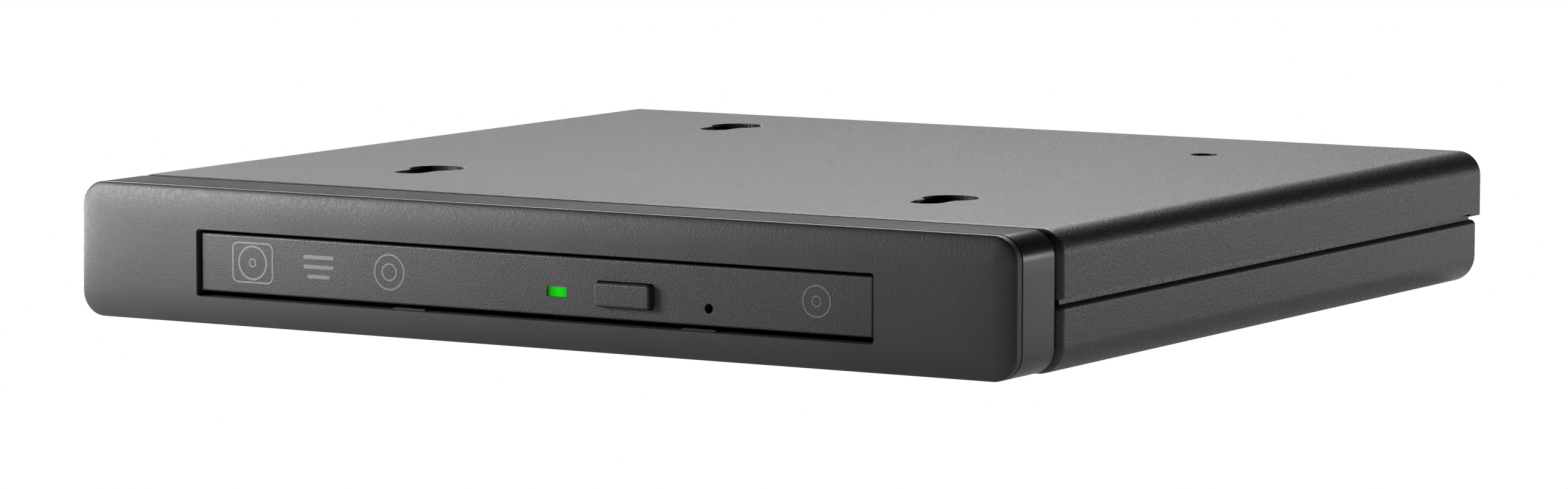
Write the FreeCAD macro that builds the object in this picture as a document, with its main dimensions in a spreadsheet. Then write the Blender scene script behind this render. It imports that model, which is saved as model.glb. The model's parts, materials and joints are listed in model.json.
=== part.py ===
import FreeCAD, Part
import os
import re

import Sketcher
from FreeCAD import Placement, Rotation, Vector

# A slim tray-loading disc writer in a low steel module.
# All lengths are millimetres. X runs to the right, Y to the back, Z up.
# Module pieces are drawn from the middle of the front face's lower edge, drive pieces from the drive's own
# centre line and underside, and traverse pieces from the disc spindle, with x along the pickup's travel.

SIZES = [
    # Front
    ("bezel_width", 177, "plastic front, side to side"),
    ("bezel_height", 22.6, "plastic front, bottom to top"),
    ("bezel_corner", 4.2, "its corner radius seen from the front"),
    ("cap_depth", 2.4, "textured front cap, front to back"),
    ("cap_edge", 2.1, "rounding of the front edge"),
    ("seam_gap", 0.35, "open seam between cap and band"),
    ("seam_inset", 0.6, "depth of that seam"),
    ("tongue_wall", 1.2, "wall of the cap's tongue"),
    ("tongue_length", 3.4, "how far the tongue enters the band"),
    ("snap_clearance", 0.05, "slack of parts that snap together"),
    ("band_end", 13.6, "back edge of the band, from the front face"),
    ("band_wall", 2.0, "wall of the band"),
    ("band_edge", 0.7, "rounding of the band's back edge"),
    ("spigot_wall", 0.8, "rim of the band that meets the steel case"),
    ("hook_width", 8, "snap hook, side to side"),
    ("hook_thick", 1.2, "snap hook's thickness"),
    ("hook_barb", 0.7, "how far the hook catches"),
    ("hook_reach", 1.6, "how far the hook stands behind the sheet"),
    ("hook_near", 27, "inner hooks from the middle"),
    ("hook_margin", 20.5, "outer hooks from the front's ends"),
    # Window in the front
    ("window_slack", 0.5, "from the drive's face to each end of its opening"),
    ("window_height", 11.0, "opening's height"),
    ("window_sill", 4.65, "its lower edge above the front's lower edge"),
    ("window_corner", 0.5, "its corner radius"),
    ("window_edge", 0.3, "bevel round the opening"),
    ("sill_rib_width", 6.2, "thin ledge on the sill"),
    ("sill_rib_height", 0.35, "its height"),
    ("sill_rib_left", -23.3, "left ledge from the middle"),
    ("sill_rib_right", 31.5, "right ledge from the middle"),
    # Steel case
    ("case_start", 14.4, "front of the steel case"),
    ("case_length", 159.4, "upper shell, front to back"),
    ("case_proud", 0.5, "how far the steel case stands out beside the plastic front"),
    ("case_height", 22.9, "steel case, underside to top"),
    ("case_drop", 0.3, "how far it reaches below the plastic front"),
    ("case_sheet", 1.0, "steel sheet of the case"),
    ("top_bend", 4.2, "outer radius of the long upper bends"),
    ("bottom_bend", 4.7, "outer radius of the long lower bends"),
    ("end_round", 1.5, "rounding at the case's two ends"),
    ("base_setback", 2.0, "how much sooner the lower shell ends"),
    ("split_low", 10.7, "top of the lower shell's sides"),
    ("split_high", 11.85, "lower edge of the upper shell's sides"),
    ("front_tab_drop", 0.2, "step in that edge near the front"),
    ("front_tab_length", 3.3, "its length"),
    ("rear_tab_drop", 0.4, "step in that edge near the back"),
    ("rear_tab_length", 5.2, "its length"),
    ("lip_inset", 1.15, "inner lip of the lower shell, from the side"),
    ("lip_rise", 3.0, "how far the lip rises into the upper shell"),
    ("lip_round", 0.9, "rounded shoulder of the lower shell"),
    ("lip_end_gap", 1.4, "lip's end from each end of the shell"),
    # Keyholes in the top
    ("keyhole_pitch", 100, "square of the fixing points"),
    ("keyhole_front", 49.9, "front pair from the front face"),
    ("keyhole_head", 9.5, "round end that a screw head passes"),
    ("keyhole_slot", 5.5, "slot that holds the shank"),
    ("keyhole_run", 8, "from the round end to the slot's end"),
    ("lock_hole", 5, "plain hole at the fourth point"),
    # Feet, vents and screws of the case
    ("foot_size", 12, "rubber foot across"),
    ("foot_height", 1.5, "rubber foot's height"),
    ("foot_inset", 21, "feet's middle from the case's sides"),
    ("foot_front", 24, "front feet from the front face"),
    ("foot_back", 154, "back feet from the front face"),
    ("vent_length", 18, "vent slot's length"),
    ("vent_width", 2, "vent slot's width"),
    ("vent_pitch", 5, "vent slots, one to the next"),
    ("vent_front", 140, "first vent from the front face"),
    ("screw_radius", 1.4, "shank of a case screw"),
    ("screw_head", 2.7, "radius of its head"),
    ("screw_head_height", 1.1, "height of its head"),
    ("screw_length", 4.2, "length of its shank"),
    ("cover_screw_side", 19, "cover screws from the case's sides"),
    ("cover_screw_z", 15.5, "their height above the front's lower edge"),
    ("screw_boss", 4, "radius of the pad that takes such a screw"),
    # Drive's place and casing
    ("drive_x", -0.4, "drive's middle from the module's"),
    ("drive_lift", 5.55, "drive's underside above the front's lower edge"),
    ("drive_width", 127.5, "drive casing, side to side"),
    ("drive_height", 9.5, "drive casing's height"),
    ("drive_length", 126.1, "drive casing, front to back"),
    ("chassis_sheet", 0.6, "sheet of the chassis"),
    ("chassis_bend", 1.0, "its outer bend radius"),
    ("cover_sheet", 0.5, "sheet of the top cover"),
    ("skirt_height", 3, "folded sides of the top cover"),
    ("tab_size", 5.5, "fixing tabs under the cover's corners"),
    ("tab_inset", 8, "their middle from the casing's ends"),
    ("tiny_screw", 0.95, "radius of the drive's screws"),
    ("tiny_head", 1.8, "radius of their heads"),
    ("tiny_head_height", 0.45, "height of their heads"),
    # Drive's face
    ("face_step", 0.05, "drive's casing stands out beside its face"),
    ("face_height", 9.6, "its height"),
    ("face_recess", 0.75, "how far it sits behind the front"),
    ("face_depth", 4.2, "front to back"),
    ("face_skin", 1.6, "front wall"),
    ("face_wall", 1.0, "rim round the back"),
    ("face_edge", 0.35, "rounding of its front edge"),
    ("body_gap", 0.4, "from the face to the casing"),
    ("button_x", 18.55, "eject button from the drive's middle"),
    ("button_h", 3.95, "its middle above the drive's underside"),
    ("button_width", 10.3, "eject button"),
    ("button_height", 3.85, "its height"),
    ("button_proud", 1.3, "how far it stands off the face"),
    ("button_edge", 0.5, "rounding of its edges"),
    ("button_travel", 0.6, "how far it presses in"),
    ("button_gap", 0.2, "slack round it"),
    ("button_flange", 0.5, "collar that keeps it in"),
    ("led_x", 5.7, "lamp window from the drive's middle"),
    ("led_h", 3.8, "its height"),
    ("led_width", 3.7, "lamp window"),
    ("led_height", 1.65, "its height"),
    ("led_recess", 0.3, "how far the lens sits in"),
    ("pinhole_x", 34.0, "emergency hole from the drive's middle"),
    ("pinhole_h", 2.78, "its height"),
    ("pinhole_size", 1.55, "its diameter"),
    ("clip_width", 8, "clips that hold the face to the tray"),
    ("clip_height", 0.9, "their thickness"),
    # Tray
    ("tray_length", 124.3, "tray, front to back"),
    ("tray_bottom", 1.1, "underside above the drive's underside"),
    ("tray_rim", 7.4, "rim"),
    ("well_radius", 60.75, "well for a 120 mm disc"),
    ("well_floor", 5.1, "its floor"),
    ("small_radius", 40.5, "well for an 80 mm disc"),
    ("small_floor", 4.6, "its floor"),
    ("disc_y", 67.5, "spindle from the front face"),
    ("side_cut", 22, "half length of the open side of the well"),
    ("ceiling", 3.5, "underside of the tray's floor"),
    ("tray_wall", 1.2, "walls round the underside"),
    ("tray_corner", 2.0, "rounding of its back corners"),
    ("notch_slack", 1, "from the tray's back cut-out to the connector in it"),
    ("notch_y", 119.5, "and from the front face"),
    ("under_margin", 2.55, "from the tray's left side to its bottom cover"),
    ("latch_side", 18.75, "and from its right side, where the latch is"),
    ("under_sheet", 0.3, "bottom cover's sheet"),
    ("seat_slack", 0.1, "slack round a seated sheet"),
    # Rails
    ("groove_mid", 2.95, "rails' middle above the drive's underside"),
    ("groove_height", 2.7, "inside height of the channels"),
    ("slot_height", 1.2, "slot of the channels"),
    ("channel_wall", 0.5, "wall of the channels"),
    ("rail_flange", 1.0, "flange of a rail"),
    ("rail_web", 1.5, "web of a rail"),
    ("rail_clearance", 0.1, "slack round a rail"),
    ("rail_start", 9, "rails' front end"),
    ("rail_length", 110, "rails' length"),
    ("guide_start", 7, "guides' front end"),
    ("guide_length", 122, "guides' length"),
    ("tray_gap", 0.3, "from a guide to the tray"),
    # Traverse
    ("traverse_turn", -135, "pickup's travel, turned from X"),
    ("frame_low", 1.5, "traverse frame's underside"),
    ("frame_high", 3.4, "its top"),
    ("frame_end", 65, "its outer end from the spindle"),
    ("frame_plain", 17, "its plain side"),
    ("frame_screw", 20.8, "its leadscrew side"),
    ("frame_cut", 4, "its corner cuts"),
    ("window_start", 14.2, "pickup's window, near end"),
    ("window_end", 63.4, "far end"),
    ("window_half", 15.6, "half its width"),
    ("window_cut", 3.4, "its corner cuts at the far end"),
    ("ear_radius", 4.2, "ears for the dampers"),
    ("ear_low", 2.2, "ears' underside"),
    ("ear_high", 2.9, "ears' top"),
    ("damper_neck", 2.15, "rubber damper's neck"),
    ("damper_flange", 3.2, "its flanges"),
    ("rod_offset", 13, "guide rods from the middle"),
    ("rod_radius", 0.75, "guide rods"),
    ("rod_h", 2.6, "their height"),
    ("rod_start", 10.5, "near end"),
    ("rod_end", 64.0, "far end"),
    ("bore_slack", 0.05, "running slack of rods, shaft and pin"),
    ("screw_offset", 17.2, "leadscrew from the middle"),
    ("lead_radius", 0.8, "leadscrew"),
    ("motor_start", 3.0, "feed motor, near end"),
    ("motor_end", 13.7, "far end"),
    ("motor_in", 14.0, "its inner side"),
    ("motor_out", 20.4, "its outer side"),
    ("motor_high", 4.0, "its top"),
    ("plate_end", 64, "traverse cover's far end"),
    ("plate_half", 17.5, "half its width"),
    ("plate_start", 9, "its near end"),
    ("plate_sheet", 0.3, "its sheet"),
    ("plate_slot", 8.3, "half the width of its slot"),
    ("plate_slot_end", 62.5, "slot's far end"),
    ("spindle_hole", 13.6, "hole round the turntable"),
    # Pickup
    ("lens_start", 24.5, "lens from the spindle, innermost"),
    ("sled_inner", 9.5, "sled from the lens inwards"),
    ("sled_outer", 5.0, "sled from the lens outwards"),
    ("sled_half", 15.2, "half the sled's width"),
    ("sled_cut", 2.8, "its cut outer corner"),
    ("sled_low", 1.5, "its underside"),
    ("sled_high", 4.3, "its top"),
    ("head_half", 7.3, "half the head's width"),
    ("head_high", 4.95, "head's top"),
    ("holder_depth", 6.4, "lens holder along the travel"),
    ("holder_half", 4.8, "half its width"),
    ("holder_low", 3.3, "its underside"),
    ("holder_high", 4.75, "its top"),
    ("holder_room", 0.5, "room round the holder"),
    ("lens_radius", 1.9, "objective lens"),
    ("lens_low", 3.9, "its underside"),
    ("lens_high", 5.1, "its crown"),
    # Spindle
    ("shaft_radius", 0.8, "spindle shaft"),
    ("rotor_radius", 11, "rotor"),
    ("rotor_wall", 0.8, "its wall"),
    ("table_radius", 12.6, "turntable"),
    ("table_high", 5.8, "its top"),
    ("table_thick", 0.5, "its thickness"),
    ("hub_radius", 7.45, "hub for a 15 mm disc hole"),
    ("hub_shoulder", 7.6, "top of its straight side"),
    ("hub_top", 8.4, "top of its cone"),
    ("hub_nose", 5.8, "radius at the cone's top"),
    ("pad_inner", 10, "rubber ring, inside"),
    ("pad_outer", 12.3, "rubber ring, outside"),
    ("pad_height", 0.3, "rubber ring's height"),
    ("ball_radius", 0.9, "chuck balls"),
    ("ball_place", 6.85, "their middle from the axis"),
    ("ball_h", 6.9, "their height"),
    ("ball_travel", 0.35, "how far they press in"),
    ("base_radius", 14, "motor base"),
    ("base_thick", 0.5, "its sheet"),
    ("bush_radius", 2.6, "bearing bush"),
    ("bush_top", 4.4, "its top"),
    ("stator_radius", 9.4, "stator"),
    ("pole_width", 1.6, "stator's poles"),
    # Latch and ejection
    ("post_side", 14.15, "lock post from the tray's right side"),
    ("post_y", 14, "and from the front face"),
    ("post_radius", 1.0, "its radius"),
    ("post_top", 3.2, "its top"),
    ("channel_half", 2.8, "half the channel that the post runs in"),
    ("pivot_side", 5, "latch pivot, inwards of the post"),
    ("pivot_y", 34.6, "and from the front face"),
    ("pivot_radius", 0.8, "its pin"),
    ("latch_boss", 2.2, "latch round the pin"),
    ("latch_low", 1.7, "latch's underside"),
    ("latch_high", 2.7, "its top"),
    ("latch_gap", 0.3, "from the post to the latch's hook"),
    ("latch_depth", 2.9, "hook's depth"),
    ("latch_arm", 2.8, "arm's width"),
    ("tab_reach", 8.4, "latch's tab from its pivot"),
    ("tab_half", 1.2, "half the tab's width"),
    ("latch_swing", 12, "latch's swing in degrees"),
    ("slide_width", 2.0, "release slide"),
    ("slide_start", 6.0, "its front end"),
    ("slide_gap", 0.4, "from its back end to the latch's tab"),
    ("magnet_gap", 1.9, "from the tab to the magnet"),
    ("magnet_length", 11, "latch magnet"),
    ("magnet_half", 4, "half its width"),
    ("plunger_side", 10.15, "eject plunger from the tray's left side"),
    ("plunger_h", 3.6, "its height"),
    ("plunger_radius", 1.5, "its rod"),
    ("plunger_collar", 1.9, "its collar"),
    ("plunger_bay", 104, "front of its bay"),
    ("spring_length", 9, "eject spring, pressed together"),
    ("spring_radius", 1.5, "eject spring's coil"),
    ("spring_wire", 0.25, "radius of its wire"),
    # Boards
    ("board_thick", 0.8, "drive's circuit boards"),
    ("board_low", 1.6, "their underside"),
    ("flex_width", 10, "ribbon"),
    ("flex_side", 1, "its left edge from the connector's"),
    ("flex_sheet", 0.12, "its thickness"),
    ("flex_fold", 72, "its fold from the front face"),
    ("flex_rise", 112, "where it rises to the board"),
    ("adaptor_thick", 1.6, "adaptor board"),
    ("adaptor_low", 3.0, "its underside above the front's lower edge"),
    ("adaptor_front", 136, "its front edge"),
    ("adaptor_back", 168.5, "its back edge"),
    ("adaptor_left", -36, "its left edge"),
    ("adaptor_side", 23, "from its right edge to the case's side"),
    ("standoff_radius", 2.6, "standoffs under it"),
    ("inlet_x", 30, "inlet from the middle"),
    ("inlet_width", 7.7, "inlet's shell"),
    ("inlet_height", 3.95, "its height"),
    ("inlet_length", 9.4, "its length"),
    ("inlet_wall", 0.45, "its wall"),
    ("plug_width", 27, "drive connector"),
    ("plug_side", 3.15, "from its right end to the line of the tray's side"),
    ("plug_front", 122, "its front"),
    ("plug_out", 3, "how far it stands out behind"),
    ("plug_high", 5.2, "its top"),
    ("plug_tongue", 3.2, "length of its tongue"),
    ("bracket_start", 28, "drive brackets, front end"),
    ("bracket_length", 92, "their length"),
    ("bracket_gap", 0.5, "from their feet to the lower shell's bends"),
    ("bracket_rise", 5.9, "their top above the drive's underside"),
    ("shelf_reach", 6, "shelves under the drive"),
    ("shelf_length", 9, "length of a shelf"),
]

# What follows from the sizes above.
PLACES = [
    ("case_low", "-case_drop"),
    ("case_top", "case_height - case_drop"),
    ("case_rear", "case_start + case_length"),
    ("base_rear", "case_rear - base_setback"),
    ("face_width", "drive_width - 2 * face_step"),
    ("window_width", "face_width + 2 * window_slack"),
    ("hook_far", "bezel_width / 2 - hook_margin"),
    ("case_half", "bezel_width / 2 + case_proud"),
    ("foot_side", "case_half - foot_inset"),
    ("cover_screw_x", "case_half - cover_screw_side"),
    ("adaptor_right", "case_half - adaptor_side"),
    ("inner_half", "case_half - case_sheet"),
    ("floor_top", "case_low + case_sheet"),
    ("nose_y", "face_recess - button_proud"),
    ("tail_y", "case_rear + screw_head_height"),
    ("front_y", "-(nose_y + tail_y) / 2"),
    ("ground", "case_drop + foot_height"),
    ("drive_ground", "ground + drive_lift"),
    ("lip_x", "case_half - lip_inset"),
    ("bracket_out", "inner_half - (bottom_bend - case_sheet) - bracket_gap - sqrt(drive_x^2)"),
    ("band_start", "cap_depth + seam_gap"),
    ("tongue_end", "cap_depth + tongue_length"),
    ("tray_start", "face_recess + face_depth"),
    ("tray_end", "tray_start + tray_length"),
    ("body_start", "tray_start + body_gap"),
    ("body_end", "body_start + drive_length"),
    ("skin_back", "face_recess + face_skin"),
    ("chassis_half", "drive_width / 2 - cover_sheet"),
    ("wall_in", "chassis_half - chassis_sheet"),
    ("cover_low", "drive_height - cover_sheet"),
    ("channel_depth", "rail_flange + 2 * rail_clearance"),
    ("guide_in", "wall_in - channel_depth - 2 * channel_wall"),
    ("tray_half", "guide_in - tray_gap"),
    ("under_left", "tray_half - under_margin"),
    ("under_right", "tray_half - latch_side"),
    ("plug_right", "tray_half - plug_side"),
    ("plug_left", "plug_right - plug_width"),
    ("notch_x", "plug_left - notch_slack"),
    ("flex_x", "plug_left - flex_side"),
    ("post_x", "tray_half - post_side"),
    ("pivot_x", "post_x - pivot_side"),
    ("plunger_x", "-(tray_half - plunger_side)"),
    ("flange_high", "groove_mid + groove_height / 2 - rail_clearance"),
    ("flange_low", "groove_mid - groove_height / 2 + rail_clearance"),
    ("web_high", "groove_mid + slot_height / 2 - rail_clearance"),
    ("web_low", "groove_mid - slot_height / 2 + rail_clearance"),
    ("rail_out", "wall_in - channel_wall - rail_clearance"),
    ("rail_in", "tray_half - channel_wall - rail_clearance - rail_flange"),
    ("rail_end", "rail_start + rail_length"),
    ("seat_top", "tray_bottom + under_sheet"),
    ("under_front", "tray_start + 1.6"),
    ("under_back", "tray_end - 1.6"),
    ("chassis_back", "body_end - cover_sheet - chassis_sheet"),
    ("lens_x", "lens_start"),
    ("sled_near", "lens_start - sled_inner"),
    ("sled_far", "lens_start + sled_outer"),
    ("post_reach", "sqrt((post_x - pivot_x)^2 + (post_y - pivot_y)^2)"),
    ("hook_radius", "post_reach - post_radius - latch_gap"),
    ("hook_angle", "atan2(post_y - pivot_y; post_x - pivot_x) / 1 deg"),
    ("slide_end", "pivot_y - tab_half - slide_gap"),
    ("spring_end", "plunger_bay + 0.3 + spring_length"),
    ("plunger_tip", "chassis_back - 0.25"),
    ("adaptor_top", "adaptor_low + adaptor_thick"),
    ("plug_back", "body_end + plug_out"),
    ("keyhole_half", "keyhole_pitch / 2"),
    ("keyhole_back", "keyhole_front + keyhole_pitch"),
]

PLANES = {"XY": ("XY_Plane", 1), "XZ": ("XZ_Plane", -1), "YZ": ("YZ_Plane", 1)}

doc = FreeCAD.newDocument("writer_module")
sizes = doc.addObject("Spreadsheet::Sheet", "Sizes")
places = doc.addObject("Spreadsheet::Sheet", "Places")
home = {}
made = []


def linked(text):
    """The formula with every named value tied to the sheet that holds it."""
    return re.sub(r"[a-z][a-z_0-9]*", lambda word: home.get(word[0], word[0]), str(text))


def fill_sheets():
    for row, (name, number, meaning) in enumerate(SIZES, 1):
        sizes.set(f"A{row}", name)
        sizes.set(f"B{row}", str(number))
        sizes.set(f"C{row}", meaning)
        sizes.setAlias(f"B{row}", name)
        home[name] = f"Sizes.{name}"
    for row, (name, formula) in enumerate(PLACES, 1):
        places.set(f"A{row}", name)
        places.set(f"B{row}", "=" + linked(formula))
        places.setAlias(f"B{row}", name)
        home[name] = f"Places.{name}"
        doc.recompute()


def value(text):
    """The formula's number now."""
    found = sizes.evalExpression(linked(text))
    return float(getattr(found, "Value", found))


def stand(piece, where):
    """Ties a piece's placement to the module, the drive or the traverse."""
    base = {
        "module": ("0", "front_y", "ground"),
        "drive": ("drive_x", "front_y", "drive_ground"),
        "traverse": ("drive_x", "front_y + disc_y", "drive_ground"),
    }[where]
    if where == "traverse":
        piece.Placement = Placement(Vector(), Rotation(Vector(0, 0, 1), value("traverse_turn")))
        piece.setExpression("Placement.Rotation.Angle", linked("traverse_turn"))
    for axis, formula in zip("xyz", base):
        piece.setExpression(f"Placement.Base.{axis}", linked(formula))


def new_body(label, where):
    body = doc.addObject("PartDesign::Body", label)
    body.Label = label
    stand(body, where)
    made.append(body)
    return body


def keep(piece, label, where):
    """Makes a finished primitive, boolean or compound a sub-part."""
    piece.Label = label
    stand(piece, where)
    made.append(piece)
    return piece


def tie(sketch, kind, *ends, to=None):
    """Adds a constraint, bound to a formula where it has a size."""
    if to is None:
        sketch.addConstraint(Sketcher.Constraint(kind, *ends))
        return
    at = sketch.addConstraint(Sketcher.Constraint(kind, *ends, value(to)))
    sketch.setExpression(f"Constraints[{at}]", linked(to))


def pin(sketch, element, end, x, y):
    """Fixes a point of the sketch at two formulas."""
    tie(sketch, "DistanceX", -1, 1, element, end, to=x)
    tie(sketch, "DistanceY", -1, 1, element, end, to=y)


def circle(x, y, radius):
    """A closed loop for a sketch: a circle."""

    def draw(sketch):
        centre = Vector(value(x), value(y), 0)
        line = sketch.addGeometry(Part.Circle(centre, Vector(0, 0, 1), value(radius)), False)
        pin(sketch, line, 3, x, y)
        tie(sketch, "Radius", line, to=radius)

    return draw


def polygon(*corners):
    """A closed loop for a sketch: straight lines from corner to corner."""

    def draw(sketch):
        points = [Vector(value(x), value(y), 0) for x, y in corners]
        ends = points[1:] + points[:1]
        lines = sketch.addGeometry([Part.LineSegment(a, b) for a, b in zip(points, ends)], False)
        for i, (x, y) in enumerate(corners):
            tie(sketch, "Coincident", lines[i - 1], 2, lines[i], 1)
            pin(sketch, lines[i], 1, x, y)

    return draw


def rectangle(left, right, low, high):
    return polygon((left, low), (right, low), (right, high), (left, high))


def arc_between(start, end, centre):
    """The shorter arc from start to end about a centre."""
    radius = (start - centre).Length
    middle = centre + ((start + end) * 0.5 - centre).normalize() * radius
    return Part.Arc(start, middle, end)


def rounded(left, right, low, high, radius):
    """A closed loop for a sketch: a rectangle with round corners."""
    low_left, high_right = (left, low), (right, high)
    xs = [f"{low_left[0]} + {radius}", f"{high_right[0]} - ({radius})"]
    ys = [f"{low_left[1]} + {radius}", f"{high_right[1]} - ({radius})"]
    corners = [
        ((xs[1], low), (right, ys[0]), (xs[1], ys[0])),
        ((right, ys[1]), (xs[1], high), (xs[1], ys[1])),
        ((xs[0], high), (left, ys[1]), (xs[0], ys[1])),
        ((left, ys[0]), (xs[0], low), (xs[0], ys[0])),
    ]

    def draw(sketch):
        points = [[Vector(value(x), value(y), 0) for x, y in corner] for corner in corners]
        arcs = sketch.addGeometry([arc_between(*p) for p in points], False)
        ends = points[1:] + points[:1]
        lines = sketch.addGeometry([Part.LineSegment(p[1], q[0]) for p, q in zip(points, ends)], False)
        for i, (start, end, _) in enumerate(corners):
            tie(sketch, "Coincident", lines[i - 1], 2, arcs[i], 1)
            tie(sketch, "Coincident", arcs[i], 2, lines[i], 1)
            pin(sketch, arcs[i], 1, *start)
            pin(sketch, arcs[i], 2, *end)
            tie(sketch, "Radius", arcs[i], to=radius)

    return draw


def polar(x, y, radius, angle):
    """The point at a radius and angle about x, y, as two formulas."""
    return f"{x} + ({radius}) * cos({angle})", f"{y} + ({radius}) * sin({angle})"


def sector(x, y, inner, outer, first, last):
    """A closed loop for a sketch: part of a ring about x, y."""
    a, b = polar(x, y, inner, first), polar(x, y, outer, first)
    c, d = polar(x, y, outer, last), polar(x, y, inner, last)

    def draw(sketch):
        points = [Vector(value(px), value(py), 0) for px, py in (a, b, c, d)]
        centre = Vector(value(x), value(y), 0)
        sides = sketch.addGeometry(
            [
                Part.LineSegment(points[0], points[1]),
                arc_between(points[1], points[2], centre),
                Part.LineSegment(points[2], points[3]),
                arc_between(points[0], points[3], centre),
            ],
            False,
        )
        for piece, end, point in zip((0, 0, 2, 2), (1, 2, 1, 2), (a, b, c, d)):
            pin(sketch, sides[piece], end, *point)
        tie(sketch, "Coincident", sides[0], 2, sides[1], 1)
        tie(sketch, "Coincident", sides[1], 2, sides[2], 1)
        tie(sketch, "Coincident", sides[3], 1, sides[0], 1)
        tie(sketch, "Coincident", sides[3], 2, sides[2], 2)
        tie(sketch, "Radius", sides[1], to=outer)
        tie(sketch, "Radius", sides[3], to=inner)

    return draw


def turned(x, y):
    """A point of the traverse, in the drive's own directions."""
    return (
        f"({x}) * cos(traverse_turn) - ({y}) * sin(traverse_turn)",
        f"disc_y + ({x}) * sin(traverse_turn) + ({y}) * cos(traverse_turn)",
    )


def sketch_on(body, plane, height, loops):
    role = PLANES[plane][0]
    side = PLANES[plane][1]
    sketch = body.newObject("Sketcher::SketchObject", "Sketch")
    origin = next(f for f in body.Origin.OriginFeatures if f.Role == role)
    sketch.AttachmentSupport = [(origin, "")]
    sketch.MapMode = "FlatFace"
    sketch.setExpression("AttachmentOffset.Base.z", linked(f"({height}) * {side}"))
    for draw in loops:
        draw(sketch)
    return sketch


def pad(body, plane, start, end, *loops):
    """Adds the loops' area from start to end along the plane's axis."""
    feature = body.newObject("PartDesign::Pad", "Pad")
    feature.Profile = sketch_on(body, plane, start, loops)
    feature.setExpression("Length", linked(f"({end}) - ({start})"))
    feature.Reversed = PLANES[plane][1] < 0
    body.Tip = feature
    return feature


def pocket(body, plane, start, end, *loops):
    """Takes the loops' area away from start to end along the plane's axis."""
    feature = body.newObject("PartDesign::Pocket", "Pocket")
    feature.Profile = sketch_on(body, plane, start, loops)
    feature.setExpression("Length", linked(f"({end}) - ({start})"))
    feature.Reversed = PLANES[plane][1] > 0
    body.Tip = feature
    return feature


def revolve(body, *loops):
    """Turns a half section, drawn with x as radius, about Z."""
    feature = body.newObject("PartDesign::Revolution", "Revolution")
    feature.Profile = sketch_on(body, "XZ", "0", loops)
    feature.ReferenceAxis = (feature.Profile[0], ["V_Axis"])
    feature.Angle = 360
    body.Tip = feature
    return feature


def spots(shape, test):
    """Names of the edges whose middle passes the test."""
    names = []
    for i, edge in enumerate(shape.Edges, 1):
        middle = edge.valueAt((edge.FirstParameter + edge.LastParameter) / 2)
        if test(edge, middle):
            names.append(f"Edge{i}")
    return names


def soften(body, size, test, kind="PartDesign::Fillet"):
    """Rounds, or bevels, the edges of the body so far that pass the test."""
    doc.recompute()
    base = body.Tip
    names = spots(base.Shape, test)
    if not names:
        raise ValueError(f"{body.Label}: no edge passes the test")
    feature = body.newObject(kind, "Edge_finish")
    feature.Base = (base, names)
    feature.setExpression("Radius" if kind.endswith("Fillet") else "Size", linked(size))
    body.Tip = feature
    return feature


def near(a, b):
    return abs(a - b) < 1e-4


def runs_along(edge, axis):
    """True for a straight edge along an axis: 0, 1 or 2."""
    if edge.Curve.TypeId != "Part::GeomLine":
        return False
    ends = edge.valueAt(edge.FirstParameter), edge.valueAt(edge.LastParameter)
    return all(near(ends[0][i], ends[1][i]) for i in range(3) if i != axis)


def box(left, right, front, back, low, high):
    piece = doc.addObject("Part::Box", "Box")
    for prop, a, b in (("Length", left, right), ("Width", front, back), ("Height", low, high)):
        piece.setExpression(prop, linked(f"({b}) - ({a})"))
    for axis, formula in zip("xyz", (left, front, low)):
        piece.setExpression(f"Placement.Base.{axis}", linked(formula))
    return piece


TURNS = {"z": (0, 0, 1, 0), "y": (1, 0, 0, -90), "x": (0, 1, 0, 90), "-x": (0, 1, 0, -90)}


def cylinder(x, y, z, radius, length, along="z"):
    piece = doc.addObject("Part::Cylinder", "Cylinder")
    *axis, angle = TURNS[along]
    piece.Placement = Placement(Vector(), Rotation(Vector(*axis), angle))
    piece.setExpression("Radius", linked(radius))
    piece.setExpression("Height", linked(length))
    for name, formula in zip("xyz", (x, y, z)):
        piece.setExpression(f"Placement.Base.{name}", linked(formula))
    return piece


def fuse(*pieces):
    joined = doc.addObject("Part::MultiFuse", "Fuse")
    joined.Shapes = list(pieces)
    return joined


def cut(base, tool):
    piece = doc.addObject("Part::Cut", "Cut")
    piece.Base = base
    piece.Tool = tool
    return piece


def group(*pieces):
    compound = doc.addObject("Part::Compound", "Group")
    compound.Links = list(pieces)
    return compound


def screw(x, y, z, along, shank, head, head_height, length):
    """A screw whose head sits at x, y, z and whose shank runs on along an axis."""
    back = {"z": "z", "y": "y", "x": "x", "-x": "x"}[along]
    sign = -1 if along == "-x" else 1
    places_of = {"x": x, "y": y, "z": z}
    places_of[back] = f"{places_of[back]} + {sign} * {head_height}"
    top = cylinder(x, y, z, head, head_height, along)
    stem = cylinder(places_of["x"], places_of["y"], places_of["z"], shank, length, along)
    return fuse(top, stem)


# Front


def make_front_cap():
    body = new_body("front_cap", "module")
    outline = ("-bezel_width / 2", "bezel_width / 2", "0", "bezel_height", "bezel_corner")
    pad(body, "XZ", "0", "cap_depth", rounded(*outline))
    soften(body, "cap_edge", lambda edge, at: near(at.y, 0))
    pad(body, "XZ", "cap_depth", "tongue_end", *rim("seam_inset", "tongue_wall"))
    window = window_loop("0")
    pocket(body, "XZ", "-1", "cap_depth + 1", window)
    half, middle = value("window_width / 2") + 0.1, value("drive_x")
    low, high = value("window_sill") - 0.1, value("window_sill + window_height") + 0.1

    def window_edge(edge, at):
        return near(at.y, 0) and abs(at.x - middle) < half and low < at.z < high

    soften(body, "window_edge", window_edge, "PartDesign::Chamfer")
    for place in ("sill_rib_left", "sill_rib_right"):
        left, right = f"{place} - sill_rib_width / 2", f"{place} + sill_rib_width / 2"
        sill = rectangle(left, right, "window_sill - 0.2", "window_sill + sill_rib_height")
        pad(body, "XZ", "window_edge + 0.3", "cap_depth", sill)


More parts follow.
